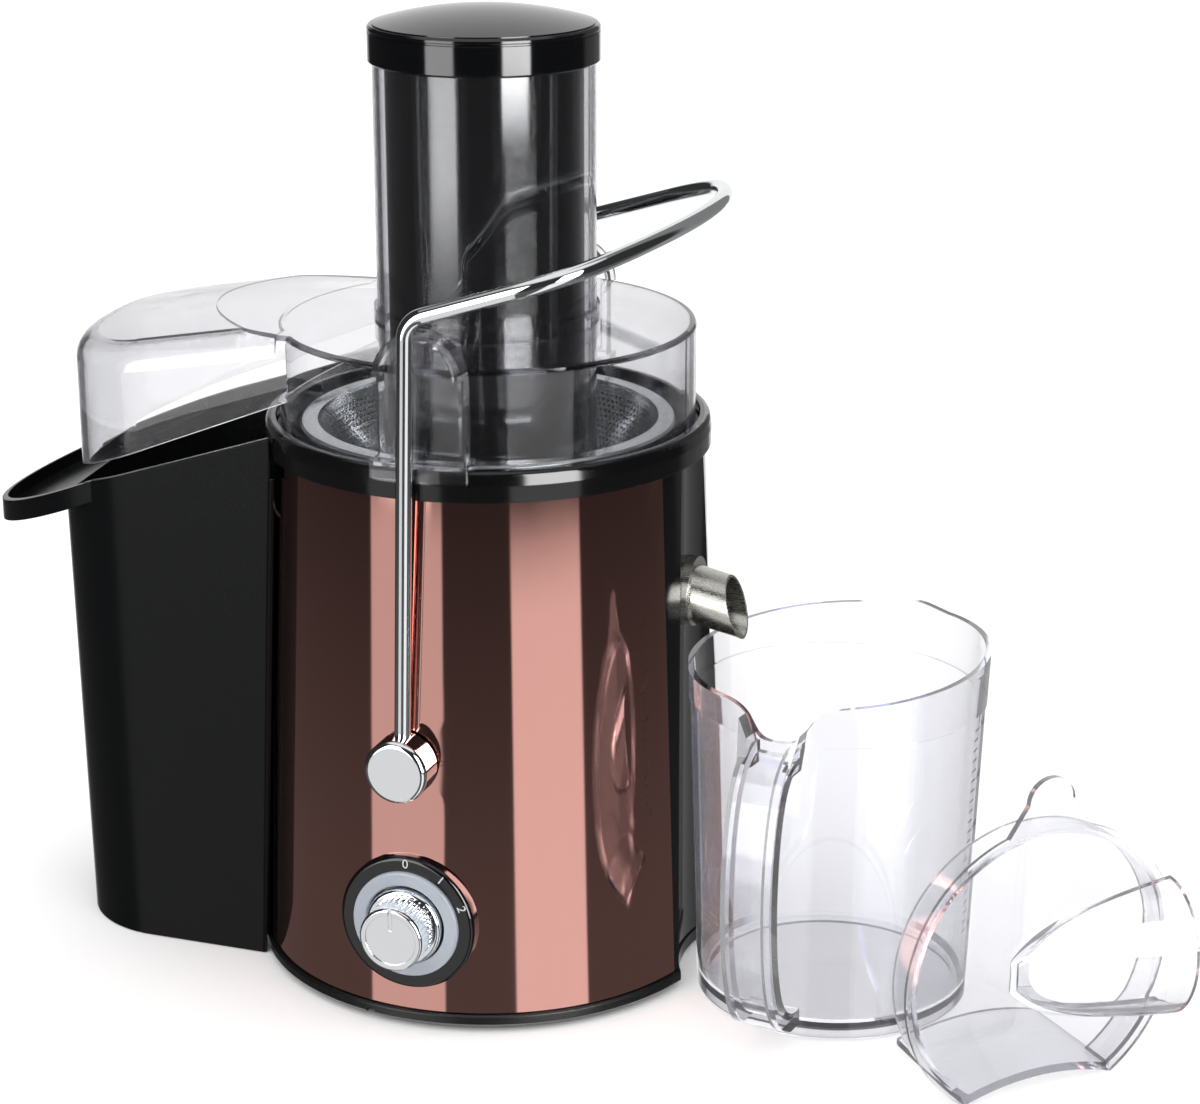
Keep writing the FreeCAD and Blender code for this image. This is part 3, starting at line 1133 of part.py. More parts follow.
# ---------------------------------------------------------------- pulp container
def bin_block(inset, low):
    """Container's outer shape from low upwards, drawn in by inset; it widens upwards."""
    def outline(z):
        shrink = inset + BIN_DRAFT * (1 - (z / BIN_TOP_Z))
        end, half, r = BIN_END_X + shrink, BIN_HALF_WIDTH - shrink, BIN_CORNER_RADIUS - shrink
        return rounded_outline([(end, -half, r), (0, -half, 0), (0, half, 0), (end, half, r)], flat_xy(z))

    return Part.makeLoft([outline(low), outline(BIN_TOP_Z)], True, True)


def base_keepout(gap):
    """Room the container leaves for the motor base."""
    low = rod(PLINTH_RADIUS + gap, -1, BASE_Z + gap)
    cone = housing_cone(gap, BASE_Z - 1, NECK_Z + 25)
    ring = rod(RING_RADIUS + 0.2 + gap, NECK_Z - 8, RING_TOP_Z + 15)
    return fuse([low, cone, ring])


def bin_rim(x):
    """Height of the rim's plane on the middle plane."""
    return BIN_RIM_Z + BIN_RIM_SLOPE * (x - BIN_RIM_X)


def tilted_prism(corners, half):
    """Prism over (x, z) corners, half to each side, that rises to the rear with the rim."""
    ring = [Vec(x, -half, z - BIN_RIM_TILT * half) for x, z in corners]
    return Part.Face(Part.makePolygon(ring + [ring[0]])).extrude(Vec(0, 2 * half, 2 * half * BIN_RIM_TILT))


def lip_slab(drop0, drop1):
    """Slab that follows the pouring lip's slope, between two drops below its top face."""
    root = BIN_END_X + BIN_LIP_ROOT
    x0, x1 = BIN_END_X - BIN_LIP_REACH - 5, root + 1
    top = bin_rim(root)

    def level(x, drop):
        return top + BIN_LIP_SLOPE * (x - root) - drop

    return tilted_prism([(x0, level(x0, drop1)), (x1, level(x1, drop1)), (x1, level(x1, drop0)),
                         (x0, level(x0, drop0))], BIN_HALF_WIDTH)


def lip_plan(inset):
    """Upright half-ellipse prism in plan for the pouring lip."""
    root = BIN_END_X + BIN_LIP_ROOT
    long_axis = BIN_LIP_REACH + BIN_LIP_ROOT - inset
    centre = Vec(root, 0, 0)
    oval = Part.Ellipse(centre - X_AXIS * long_axis, centre + Y_AXIS * (BIN_LIP_HALF_WIDTH - inset), centre)
    return Part.Face(Part.Wire(oval.toShape())).extrude(Vec(0, 0, FAR))


def make_pulp_container():
    outer = bin_block(0, 0).cut(base_keepout(BIN_GAP))
    corners = [e for e in outer.Edges if e.BoundBox.ZLength > NECK_Z / 2 and e.BoundBox.XMax > -PLINTH_RADIUS]
    outer = outer.makeFillet(BIN_SIDE_RADIUS, corners)
    inner = bin_block(BIN_WALL, BIN_FLOOR).cut(base_keepout(BIN_GAP + BIN_WALL))
    above = tilted_prism([(-FAR, bin_rim(-FAR)), (0, bin_rim(0)), (0, FAR), (-FAR, FAR)], BIN_HALF_WIDTH + 1)
    body = outer.cut(inner).cut(above)
    half = BIN_HALF_WIDTH - BIN_WALL
    body = body.cut(block(BIN_BACK_X, 0, -half, half, BIN_BACK_RIM_Z, FAR))
    lip = lip_plan(0).common(lip_slab(0, BIN_LIP_THICK))
    tray = lip_plan(BIN_LIP_EDGE).common(lip_slab(-BIN_LIP_REACH, BIN_LIP_THICK - BIN_LIP_FLOOR))
    body = fuse([body, lip.cut(inner)]).cut(tray)
    return single(body)


# ---------------------------------------------------------------- jug
def jug_lathe(corners):
    return lathe(corners, (JUG_X, JUG_Y))


def jug_radius(z):
    if z > JUG_SHOULDER_Z:
        share = (z - JUG_SHOULDER_Z) / (JUG_RIM_Z - JUG_SHOULDER_Z)
        return JUG_SHOULDER_RADIUS + (JUG_RIM_RADIUS - JUG_SHOULDER_RADIUS) * share
    return JUG_FOOT_RADIUS + (JUG_SHOULDER_RADIUS - JUG_FOOT_RADIUS) * z / JUG_SHOULDER_Z


def jug_frame(shape, deg):
    """Turn a piece drawn towards -Y about the origin to a heading on the jug."""
    turned = shape.copy()
    turned.rotate(Vec(0, 0, 0), Z_AXIS, deg)
    turned.translate(Vec(JUG_X, JUG_Y, 0))
    return turned


def rim_height(x, y):
    """Height of the tilted rim plane at a place measured from the jug's axis."""
    return JUG_RIM_Z + JUG_RIM_TILT_X * x + JUG_RIM_TILT_Y * y


def above_rim():
    """All that is above the jug's tilted rim."""
    reach = 2 * JUG_RIM_RADIUS
    corners = ((-reach, -reach), (reach, -reach), (reach, reach), (-reach, reach))
    ring = [Vec(x, y, rim_height(x, y)) for x, y in corners]
    slab = Part.Face(Part.makePolygon(ring + [ring[0]])).extrude(Vec(0, 0, reach))
    return jug_frame(slab, 0)


def smooth_edge(points):
    curve = Part.BSplineCurve()
    curve.interpolate(points)
    return curve.toShape()


def rim_dip():
    """Smooth dip in the rim over the handle, as a cutter that passes through the wall."""
    outline = [(-t, depth) for t, depth in reversed(JUG_DIP)] + list(JUG_DIP[1:])
    points = []
    for t, depth in outline:
        turn = t / JUG_RIM_RADIUS
        place = heading(JUG_DIP_DEG + math.degrees(turn)) * JUG_RIM_RADIUS
        z = rim_height(place.x, place.y) - depth
        points.append(Vec(JUG_RIM_RADIUS * math.sin(turn), -JUG_RIM_RADIUS - 8, z))
    top = JUG_RIM_Z + 30
    first, last = points[0], points[-1]
    roof = Part.makePolygon([last, Vec(last.x, last.y, top), Vec(first.x, first.y, top), first])
    face = Part.Face(Part.Wire([smooth_edge(points)] + roof.Edges))
    return jug_frame(face.extrude(Vec(0, 30, 0)), JUG_DIP_DEG)


def handle_band(near, far, half_width, top_z, low_z):
    """Part of the C-shaped strap between two offsets outwards of its inner face, drawn towards -Y."""
    mid_z = (JUG_HANDLE_TOP_Z + JUG_HANDLE_LOW_Z) / 2
    root_top, root_low = jug_radius(JUG_HANDLE_TOP_Z) - 4, jug_radius(JUG_HANDLE_LOW_Z) - 2
    bow = jug_radius(mid_z) + JUG_HANDLE_BOW - JUG_HANDLE_DEPTH
    steps = 12

    def curve(offset):
        z_top = JUG_HANDLE_TOP_Z - JUG_HANDLE_DEPTH + offset
        z_low = JUG_HANDLE_LOW_Z + JUG_HANDLE_DEPTH - offset
        points = []
        for k in range(steps + 1):
            a = math.pi * (k / steps - 0.5)
            z = (z_top + z_low) / 2 + (z_top - z_low) / 2 * math.sin(a)
            root = root_low + (root_top - root_low) * (z - z_low) / (z_top - z_low)
            points.append(Vec(-half_width, -root - (bow + offset - root) * abs(math.cos(a)) ** 0.62, z))
        return points

    inner, outer = curve(near), curve(far)
    ends = [Part.makeLine(inner[-1], outer[-1]), Part.makeLine(outer[0], inner[0])]
    face = Part.Face(Part.Wire([smooth_edge(inner), ends[0], smooth_edge(outer[::-1]), ends[1]]))
    body = face.extrude(Vec(2 * half_width, 0, 0))
    return body.common(block(-FAR, FAR, -FAR, 0, low_z, top_z))


def handle_flare():
    """One of the handle's two ribs where it spreads outwards on its way up to the rim."""
    outer = JUG_HANDLE_WIDTH / 2
    inner = outer - JUG_HANDLE_RIB
    root = JUG_SHOULDER_RADIUS - 4
    sections = [(inner, outer, root + JUG_FLARE_REACH + 3, JUG_FLARE_LOW_Z),
                (inner + JUG_FLARE_OUT, outer + JUG_FLARE_OUT, root + 6.5, JUG_RIM_Z)]
    wires = []
    for t0, t1, reach, z in sections:
        ring = [Vec(t0, -root, z), Vec(t1, -root, z), Vec(t1, -reach, z), Vec(t0, -reach, z)]
        wires.append(Part.makePolygon(ring + [ring[0]]))
    return Part.makeLoft(wires, True, True)


def jug_beak(inset, low):
    """Pouring beak: a rounded V in plan that leans out from the wall, drawn in by inset."""
    tip, wall = JUG_BEAK_RADIUS - inset, JUG_RIM_RADIUS - JUG_BEAK_BITE - inset
    touch = math.acos(wall / tip) + math.radians(JUG_BEAK_SPREAD_DEG)
    side, along = wall * math.sin(touch), wall * math.cos(touch)
    lean = JUG_BEAK_SHIFT / (JUG_RIM_Z - JUG_BEAK_LOW_Z)
    run = JUG_RIM_Z + 8 - low
    back = JUG_BEAK_SHIFT - lean * (low - JUG_BEAK_LOW_Z)
    plan = rounded_outline([(-side, -20, 0), (side, -20, 0), (side, -along, 0), (0, -tip, JUG_BEAK_TIP),
                            (-side, -along, 0)], lambda p: Vec(p.x, p.y + back, low))
    body = outline_prism(plan, Vec(0, -lean * run, run))
    return jug_frame(body, JUG_BEAK_DEG)


def make_jug():
    foot, rim = jug_radius(0), JUG_RIM_RADIUS
    shoulder = jug_radius(JUG_SHOULDER_Z)
    top = JUG_RIM_Z + 8
    outer = jug_lathe([(0, 0), (foot - 1.6, 0), (foot - 0.4, 1.2), (shoulder, JUG_SHOULDER_Z),
                       (shoulder + JUG_STEP, JUG_SHOULDER_Z + JUG_STEP), (rim, JUG_RIM_Z), (rim, top),
                       (0, top)])
    top_floor = JUG_FLOOR_Z + JUG_FLOOR_THICK
    inner = jug_lathe([(0, top_floor), (jug_radius(top_floor) - JUG_WALL - 2, top_floor),
                       (jug_radius(top_floor + 2) - JUG_WALL, top_floor + 2),
                       (shoulder - JUG_WALL, JUG_SHOULDER_Z), (rim - JUG_WALL, JUG_RIM_Z),
                       (rim - JUG_WALL, top + 1), (0, top + 1)])
    under = jug_lathe([(0, -1), (foot - JUG_FOOT_WALL - 1.6, -1), (foot - JUG_FOOT_WALL - 1.6, JUG_FLOOR_Z),
                       (0, JUG_FLOOR_Z)])
    beak, beak_room = jug_beak(0, JUG_BEAK_LOW_Z), jug_beak(JUG_WALL, JUG_BEAK_LOW_Z + JUG_WALL)
    half = JUG_HANDLE_WIDTH / 2
    strap = handle_band(0, JUG_HANDLE_DEPTH, half, JUG_HANDLE_TOP_Z, JUG_HANDLE_LOW_Z)
    channel = handle_band(JUG_HANDLE_WEB, JUG_HANDLE_DEPTH + 3, half - JUG_HANDLE_RIB,
                          JUG_HANDLE_TOP_Z + 5, JUG_HANDLE_LOW_Z + JUG_HANDLE_RIB)
    flare = handle_flare()
    handle = [strap.cut(channel), flare, flare.mirror(Vec(0, 0, 0), X_AXIS)]
    handle = [jug_frame(piece, JUG_HANDLE_DEG).cut(inner) for piece in handle]
    skin = fuse([outer, beak]).cut(inner).cut(beak_room).cut(under)
    body = fuse([skin] + handle)
    return single(body.cut(above_rim()).cut(rim_dip()))


# ---------------------------------------------------------------- froth separator
def cover_place(shape):
    """Stand a piece drawn with (x, y, z) = (across, up the disc, out of its top face) beside the jug."""
    placed = shape.copy()
    placed.rotate(Vec(0, 0, 0), X_AXIS, 90)
    placed.rotate(Vec(0, 0, 0), Z_AXIS, COVER_YAW_DEG)
    placed.translate(Vec(COVER_X, COVER_Y, COVER_CUT_DROP))
    return placed


def hood_loft(scale, shift):
    """Smooth swelling form of the hood over the beak, from oval sections along the disc."""
    wires = []
    for u, half, bulge in HOOD_SECTIONS:
        centre = Vec(u + shift, HOOD_AXIS_V, 0)
        oval = Part.Ellipse(centre + Y_AXIS * half * scale, centre + Z_AXIS * bulge * scale, centre)
        wires.append(Part.Wire(oval.toShape()))
    return Part.makeLoft(wires, True, False)


def make_jug_lid():
    """Cover of the jug, drawn flat and then stood on its separator wall.

    The disc's face is across and up, and the separator wall is the disc's cut side, which lies on the table.
    """
    cut_mid = -(COVER_CUT_DROP - COVER_CUT_BOW) - COVER_CUT_RADIUS
    bite = rod(COVER_CUT_RADIUS, -100, 20, (0, cut_mid))
    disc = rod(COVER_RADIUS, -COVER_THICK, 0)
    tab = fuse([rod(COVER_TAB_RADIUS, -COVER_THICK, 0, (0, COVER_TAB_REACH - COVER_TAB_RADIUS)),
                prism_z([(-COVER_TAB_ROOT, 48), (COVER_TAB_ROOT, 48),
                         (COVER_TAB_RADIUS, COVER_TAB_REACH - COVER_TAB_RADIUS),
                         (-COVER_TAB_RADIUS, COVER_TAB_REACH - COVER_TAB_RADIUS)], -COVER_THICK, 0)])
    skirt = pipe(COVER_SKIRT_RADIUS, COVER_SKIRT_RADIUS - COVER_SKIRT_WALL, -COVER_SKIRT_DEPTH, -1)
    wall = pipe(COVER_CUT_RADIUS + COVER_THICK, COVER_CUT_RADIUS, -COVER_WALL_DEPTH, 0, (0, cut_mid))
    half, tip = COVER_CUT_HALF_WIDTH, COVER_CUT_HALF_WIDTH - COVER_WALL_TAPER
    wall = wall.common(prism_y([(-half, 0.5), (half, 0.5), (half, -COVER_SKIRT_DEPTH),
                                (tip, -COVER_WALL_DEPTH - 1), (-tip, -COVER_WALL_DEPTH - 1),
                                (-half, -COVER_SKIRT_DEPTH)], -60, 0))
    room = rod(COVER_RADIUS, -COVER_WALL_DEPTH, 40)

    outside = hood_loft(1.0, 0).common(block(-FAR, HOOD_END_U, -FAR, FAR, 0, FAR))
    hollow = hood_loft(HOOD_SHRINK, HOOD_WALL).common(block(-FAR, FAR, -FAR, FAR, -COVER_THICK - 1, FAR))
    body = fuse([disc, tab]).cut(bite)
    body = fuse([body, skirt.cut(bite), wall, outside])
    beyond = block(COVER_RADIUS - 1, FAR, -FAR, FAR, -COVER_SKIRT_DEPTH - 1, 0).cut(room)
    return single(cover_place(body.cut(hollow).cut(beyond)))


# ---------------------------------------------------------------- the pieces and their files
PIECES = {
    "motor_housing": make_motor_housing,
    "front_panel": make_front_panel,
    "top_ring": make_top_ring,
    "base_plate": make_base_plate,
    "base_screws": make_base_screws,
    "cord_gland": make_cord_gland,
    "juice_bowl": make_juice_bowl,
    "bowl_seal": make_bowl_seal,
    "spout": make_spout,
    "stator": make_stator,
    "bracket_lower": lambda: make_bracket(BRACKET_LOW_Z, BEARING_LOW_Z),
    "bracket_upper": lambda: make_bracket(BRACKET_TOP_Z, BEARING_TOP_Z),
    "bearing_lower": lambda: make_bearing(BEARING_LOW_Z),
    "bearing_upper": lambda: make_bearing(BEARING_TOP_Z),
    "motor_bolts": make_tie_bolts,
    "circuit_board": make_circuit_board,
    "rotary_switch": make_rotary_switch,
    "interlock_switch": make_interlock_switch,
    "dial_plate": make_dial_plate,
    "dial_ring": make_dial_ring,
    "motor_shaft": make_motor_shaft,
    "armature": make_armature,
    "commutator": make_commutator,
    "fan": make_fan,
    "drive_coupling": make_drive_coupling,
    "sieve_base": make_sieve_base,
    "sieve_mesh": make_sieve_mesh,
    "sieve_rim": make_sieve_rim,
    "grater_disc": make_grater_disc,
    "knob_base": make_knob_base,
    "speed_knob": make_speed_knob,
    "bail_wire": make_bail_wire,
    "lid_cover": make_lid_cover,
    "feed_tube": make_feed_tube,
    "pusher_sleeve": make_pusher_sleeve,
    "pusher_cap": make_pusher_cap,
    "pulp_container": make_pulp_container,
    "jug": make_jug,
    "jug_lid": make_jug_lid,
}
for number, spot in enumerate(FOOT_PLACES, 1):
    PIECES["foot_%d" % number] = lambda spot=spot: make_foot(spot)
for number, spot in enumerate(MOUNT_PLACES, 1):
    PIECES["motor_mount_%d" % number] = lambda spot=spot: make_motor_mount(spot)
for word, hand in (("front", -1), ("rear", 1)):
    PIECES["field_coil_" + word] = lambda hand=hand: make_field_coil(hand)
    PIECES["bail_cap_" + word] = lambda hand=hand: make_bail_cap(hand)
    PIECES["pivot_bush_" + word] = lambda hand=hand: make_pivot_bush(hand)
for word, hand in (("left", -1), ("right", 1)):
    PIECES["brush_" + word] = lambda hand=hand: make_brush(hand)

os.makedirs("parts", exist_ok=True)
for name, make in PIECES.items():
    make().exportStep(os.path.join("parts", name + ".step"))
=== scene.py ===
"""Visual model of a centrifugal juicer, laid out as a Blender add-on and run as a script.

Every piece is in metres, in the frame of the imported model: +Z up, -Y the front with the speed knob,
+X the juice spout and the jug, -X the pulp container. The motor axis is the Z axis.
"""
import math

import bmesh
import bpy
from mathutils import Matrix, Vector


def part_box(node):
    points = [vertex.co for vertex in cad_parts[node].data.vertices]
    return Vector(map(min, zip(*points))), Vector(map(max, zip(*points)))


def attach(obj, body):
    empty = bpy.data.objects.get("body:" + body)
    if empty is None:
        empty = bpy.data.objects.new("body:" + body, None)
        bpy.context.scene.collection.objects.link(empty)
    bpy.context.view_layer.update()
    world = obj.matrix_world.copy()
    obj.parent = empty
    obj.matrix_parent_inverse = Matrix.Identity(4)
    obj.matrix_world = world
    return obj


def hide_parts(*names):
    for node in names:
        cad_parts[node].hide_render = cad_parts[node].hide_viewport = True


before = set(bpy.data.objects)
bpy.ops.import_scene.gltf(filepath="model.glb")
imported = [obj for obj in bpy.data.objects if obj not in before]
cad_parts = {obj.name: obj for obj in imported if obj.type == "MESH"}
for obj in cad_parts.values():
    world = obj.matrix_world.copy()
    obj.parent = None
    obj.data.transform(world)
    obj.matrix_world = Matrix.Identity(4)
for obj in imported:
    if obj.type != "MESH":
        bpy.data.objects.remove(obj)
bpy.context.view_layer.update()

bl_info = {
    "name": "Centrifugal juicer",
    "version": (1, 0, 0),
    "blender": (4, 5, 0),
    "location": "3D View > Sidebar > Juicer",
    "description": "Builds the juicer's finishes and fine detail around its fixed frame",
    "category": "Object",
}

MM = 0.001


def linear(code):
    """An sRGB hex colour as the linear numbers that shaders take."""
    parts = [int(code[i:i + 2], 16) / 255 for i in (1, 3, 5)]
    return tuple(c / 12.92 if c <= 0.04045 else ((c + 0.055) / 1.055) ** 2.4 for c in parts)


# ---------------------------------------------------------------- sizes and colours that a user would change
def length(label, default, text):
    return bpy.props.FloatProperty(name=label, description=text, default=default, unit="LENGTH", precision=5)


def colour(label, code, text):
    return bpy.props.FloatVectorProperty(name=label, description=text, default=linear(code), subtype="COLOR",
                                         min=0, max=1, size=3)


class JuicerSizes(bpy.types.PropertyGroup):
    numeral_height: length("Numeral height", 3.4 * MM, "Height of the dial's numbers")
    numeral_radius: length("Numeral radius", 23.0 * MM, "From the dial's centre to the middle of a number")
    ink_thickness: length("Ink thickness", 0.05 * MM, "How far printing stands off the plastic")
    hole_pitch: length("Hole pitch", 2.3 * MM, "Spacing of the holes round the sieve")
    hole_size: length("Hole size", 1.2 * MM, "Width of a hole in the sieve")
    sieve_sheet: length("Sieve sheet", 0.5 * MM, "Thickness of the sieve's steel")
    mark_pitch: length("Mark pitch", 3.96 * MM, "Height from one filling mark to the next")
    mark_length: length("Mark length", 4.0 * MM, "Length of a filling mark")
    mark_width: length("Mark width", 0.5 * MM, "Width of a filling mark's line")
    mark_top: length("Top mark", 110.3 * MM, "Height of the highest filling mark")


class JuicerColours(bpy.types.PropertyGroup):
    panel: colour("Panel", "#d69f95", "Rose lacquer over the bright steel panel")
    gloss_black: colour("Gloss black", "#0b0b0c", "Polished ABS of the ring, housing and dial")
    satin_black: colour("Satin black", "#0d0e0f", "Grained plastic of the container and base")
    clear: colour("Clear plastic", "#fcfcfe", "SAN of the jug and its lid")
    lid: colour("Lid plastic", "#f3f3f4", "Faintly grey SAN of the lid and feed tube")
    ink: colour("Ink", "#d5d8da", "Printed numbers")


def radiance(label, default, text):
    return bpy.props.FloatProperty(name=label, description=text, default=default, min=0)


class JuicerStage(bpy.types.PropertyGroup):
    floor: colour("Floor", "#fafafa", "Plain pale floor")
    room: radiance("Room light", 0.2, "Soft light from all round, for matt surfaces")
    overhead: radiance("Overhead softbox", 1.3, "Large softbox over the table, for matt surfaces")
    left_wall: radiance("Left panel", 0.74, "Pale panel at the left, seen in upright surfaces")
    right_wall: radiance("Right panel", 1.0, "Pale panel at the right, seen in upright surfaces")
    left_box: radiance("Left softbox", 5.0, "Softbox over the left panel")
    right_box: radiance("Right softbox", 14.0, "Softbox over the right panel")
    clear_wall: radiance("Clear wall light", 0.1, "Extra light seen inside clear walls")
    back_wall: radiance("Back wall", 0.95, "Bright wall behind, seen in surfaces that face up")
    back_flag: radiance("Back flag", 0.2, "Dim wall behind at the right, seen along the right edges")


# ---------------------------------------------------------------- finishes
def add(tree, kind, inputs=None, **settings):
    """Adds a node: its settings, then its inputs, each a value or the output that feeds it."""
    made = tree.nodes.new(kind)
    for name, value in settings.items():
        setattr(made, name, value)
    for socket, value in (inputs or {}).items():
        if isinstance(value, bpy.types.NodeSocket):
            tree.links.new(value, made.inputs[socket])
        else:
            made.inputs[socket].default_value = value
    return made


# colour: the setting that gives the finish its colour, or code: a colour of its own
# grain: size of the surface's variation in mm along X, Y and Z
# shade: brightness of the colour in the grain's hollows, 1 where they are no darker
# rough: lowest and highest roughness
# relief: height of the grain in mm
# edge: radius in mm to which sharp edges are softened
# sheen: strength of the surface reflection, 0.5 for an unbroken surface
FINISHES = {
    # Rose lacquer over bright rolled stainless steel: mirror-sharp, with a faint vertical rolling grain
    "rose_lacquered_steel": dict(colour="panel", metallic=1.0, rough=(0.035, 0.06), grain=(6, 6, 90),
                                 shade=0.97, relief=0.0, edge=0.0),
    # Polished moulded ABS: deep black with a wet gloss and very slight flow waviness
    "gloss_abs": dict(colour="gloss_black", rough=(0.08, 0.14), ior=1.52, grain=(14, 14, 14), shade=0.9,
                      relief=0.01, edge=0.35),
    # Moulded ABS from a spark-eroded tool: fine even texture that spreads the light into a satin sheen
    "satin_abs": dict(colour="satin_black", rough=(0.27, 0.35), ior=1.52, grain=(0.6, 0.6, 0.6), shade=0.8,
                      relief=0.004, edge=0.6),
    # Moulded polypropylene with a fine matt grain: near black, with a weak soft sheen
    "grained_polypropylene": dict(colour="satin_black", rough=(0.18, 0.24), ior=1.49, sheen=0.14,
                                  grain=(0.8, 0.8, 0.8), shade=0.8, relief=0.003, edge=0.8),
    # Chrome plate over polished steel or ABS: bright, neutral and mirror-sharp
    "chrome_plate": dict(code="#e4e6e8", metallic=1.0, rough=(0.02, 0.05), grain=(9, 9, 9), shade=0.98,
                         relief=0.0, edge=0.25),
    # Drawn and brushed stainless steel: grey, with fine hair lines along the tube
    "brushed_stainless": dict(code="#c4c3bd", metallic=1.0, rough=(0.16, 0.34), grain=(9, 0.25, 0.25),
                              shade=0.82, relief=0.004, edge=0.2),
    # Pressed and polished stainless steel: bright, with soft drawing marks round the axis
    "pressed_stainless": dict(code="#cfd2d4", metallic=1.0, rough=(0.10, 0.22), grain=(3, 3, 0.4),
                              shade=0.9, relief=0.004, edge=0.2),
    # Polished moulded plastic under a clear tube: almost black, with a cold gloss
    "smoke_styrene": dict(code="#08090b", rough=(0.05, 0.10), ior=1.57, grain=(18, 18, 30), shade=0.9,
                          relief=0.01, edge=0.4),
    # Moulded nitrile rubber: matt dark grey
    "nitrile_rubber": dict(code="#1b1b1c", rough=(0.6, 0.8), ior=1.48, grain=(0.8, 0.8, 0.8), shade=0.75,
                           relief=0.03, edge=0.4),
    # Stacked punched electrical steel: thin dull sheets with dark gaps between them
    "electrical_steel": dict(code="#7d7f82", metallic=1.0, rough=(0.35, 0.55), grain=(30, 30, 0.5),
                             shade=0.45, relief=0.05, edge=0.0),
    # Enamelled copper wire: warm, with the lacquer's gloss and the shadow lines of the turns
    "copper_wire": dict(code="#a4552c", metallic=1.0, rough=(0.22, 0.4), grain=(12, 0.5, 0.5), shade=0.5,
                        relief=0.08, edge=0.3),
    # Ground and hardened steel: grey, with fine turning marks
    "ground_steel": dict(code="#b8bbbe", metallic=1.0, rough=(0.14, 0.28), grain=(4, 4, 0.15), shade=0.85,
                         relief=0.003, edge=0.2),
    # Sintered bronze: yellow-brown and slightly porous
    "sintered_bronze": dict(code="#b08a4e", metallic=1.0, rough=(0.35, 0.55), grain=(0.4, 0.4, 0.4),
                            shade=0.7, relief=0.02, edge=0.2),
    # Pressed carbon: dull grey-black
    "pressed_carbon": dict(code="#2a2a2c", rough=(0.5, 0.7), ior=1.6, grain=(0.3, 0.3, 0.3), shade=0.7,
                           relief=0.01, edge=0.1),
    # Moulded nylon: off-white and slightly waxy
    "moulded_nylon": dict(code="#dcdcd8", rough=(0.38, 0.5), ior=1.53, grain=(2, 2, 2), shade=0.94,
                          relief=0.01, edge=0.3),
    # Solder-masked glass laminate: green with a varnished gloss
    "circuit_laminate": dict(code="#1f5a38", rough=(0.22, 0.35), ior=1.5, grain=(1.2, 1.2, 1.2), shade=0.6,
                             relief=0.03, edge=0.1),
    # Zinc-plated steel: bluish grey with a crystalline bloom
    "zinc_plate": dict(code="#9da0a4", metallic=1.0, rough=(0.25, 0.42), grain=(1.5, 1.5, 1.5), shade=0.8,
                       relief=0.01, edge=0.2),
    # Pad-printed graduations: thin slate-grey ink, matt and a little uneven
    "graduation_ink": dict(code="#5c6068", rough=(0.5, 0.65), ior=1.5, grain=(0.5, 0.5, 0.5), shade=0.8,
                           relief=0.0, edge=0.0),
    # Screen-printed ink: flat pale grey, a little uneven
    "printed_ink": dict(colour="ink", rough=(0.5, 0.65), ior=1.5, grain=(0.5, 0.5, 0.5), shade=0.9,
                        relief=0.005, edge=0.0),
}


# nearly every value of a noise texture lies between these two
NOISE_LOW, NOISE_HIGH = 0.3, 0.7


def made_once(name, fill, *details):
    """The named material, given its nodes by fill when it is first asked for."""
    found = bpy.data.materials.get(name)
    if found:
        return found
    made = bpy.data.materials.new(name)
    made.use_nodes = True
    made.node_tree.nodes.clear()
    fill(made.node_tree, *details)
    return made


def finish_nodes(tree, spec):
    """Grain that varies a finish's colour, roughness and relief."""
    tones = bpy.context.scene.juicer_colours
    base = tuple(getattr(tones, spec["colour"])) if "colour" in spec else linear(spec["code"])
    place = add(tree, "ShaderNodeTexCoord").outputs["Object"]
    scaled = add(tree, "ShaderNodeMapping", {
        "Vector": place, "Scale": [1 / (g * MM) for g in spec["grain"]]})
    grain = add(tree, "ShaderNodeTexNoise", {
        "Vector": scaled.outputs["Vector"], "Scale": 1.0, "Detail": 3.0})
    level = grain.outputs["Fac"]
    tint = add(tree, "ShaderNodeMix", {
        "Factor": level, "A": (*(c * spec["shade"] for c in base), 1), "B": (*base, 1)}, data_type="RGBA")
    rough = add(tree, "ShaderNodeMapRange", {
        "Value": level, "From Min": NOISE_LOW, "From Max": NOISE_HIGH,
        "To Min": spec["rough"][0], "To Max": spec["rough"][1]})
    shader = add(tree, "ShaderNodeBsdfPrincipled", {
        "Base Color": tint.outputs["Result"], "Roughness": rough.outputs["Result"],
        "Metallic": spec.get("metallic", 0.0), "IOR": spec.get("ior", 1.5),
        "Specular IOR Level": spec.get("sheen", 0.5)})
    normal = None
    if spec["edge"]:
        normal = add(tree, "ShaderNodeBevel", {"Radius": spec["edge"] * MM}, samples=4).outputs["Normal"]
    if spec["relief"]:
        bump = add(tree, "ShaderNodeBump", {
            "Strength": 1.0, "Distance": spec["relief"] * MM, "Height": level})
        if normal:
            tree.links.new(normal, bump.inputs["Normal"])
        normal = bump.outputs["Normal"]
    if normal:
        tree.links.new(normal, shader.inputs["Normal"])
    add(tree, "ShaderNodeOutputMaterial", {"Surface": shader.outputs["BSDF"]})


def finish(name):
    """The named finish as a material."""
    return made_once(name, finish_nodes, FINISHES[name])


SAN_FLOW = 22 * MM                  # size of the moulding's flow marks
SAN_ROUGHEST = 0.03                 # roughness in the dullest of them
SAN_STRAIGHT_SHARE = 0.1            # share of the light that passes without bending
SAN_DEPTH_TONE = (0.50, 0.50, 0.86)
SAN_DEPTH_DENSITY = 9.0             # how fast that tone gathers, per metre of plastic


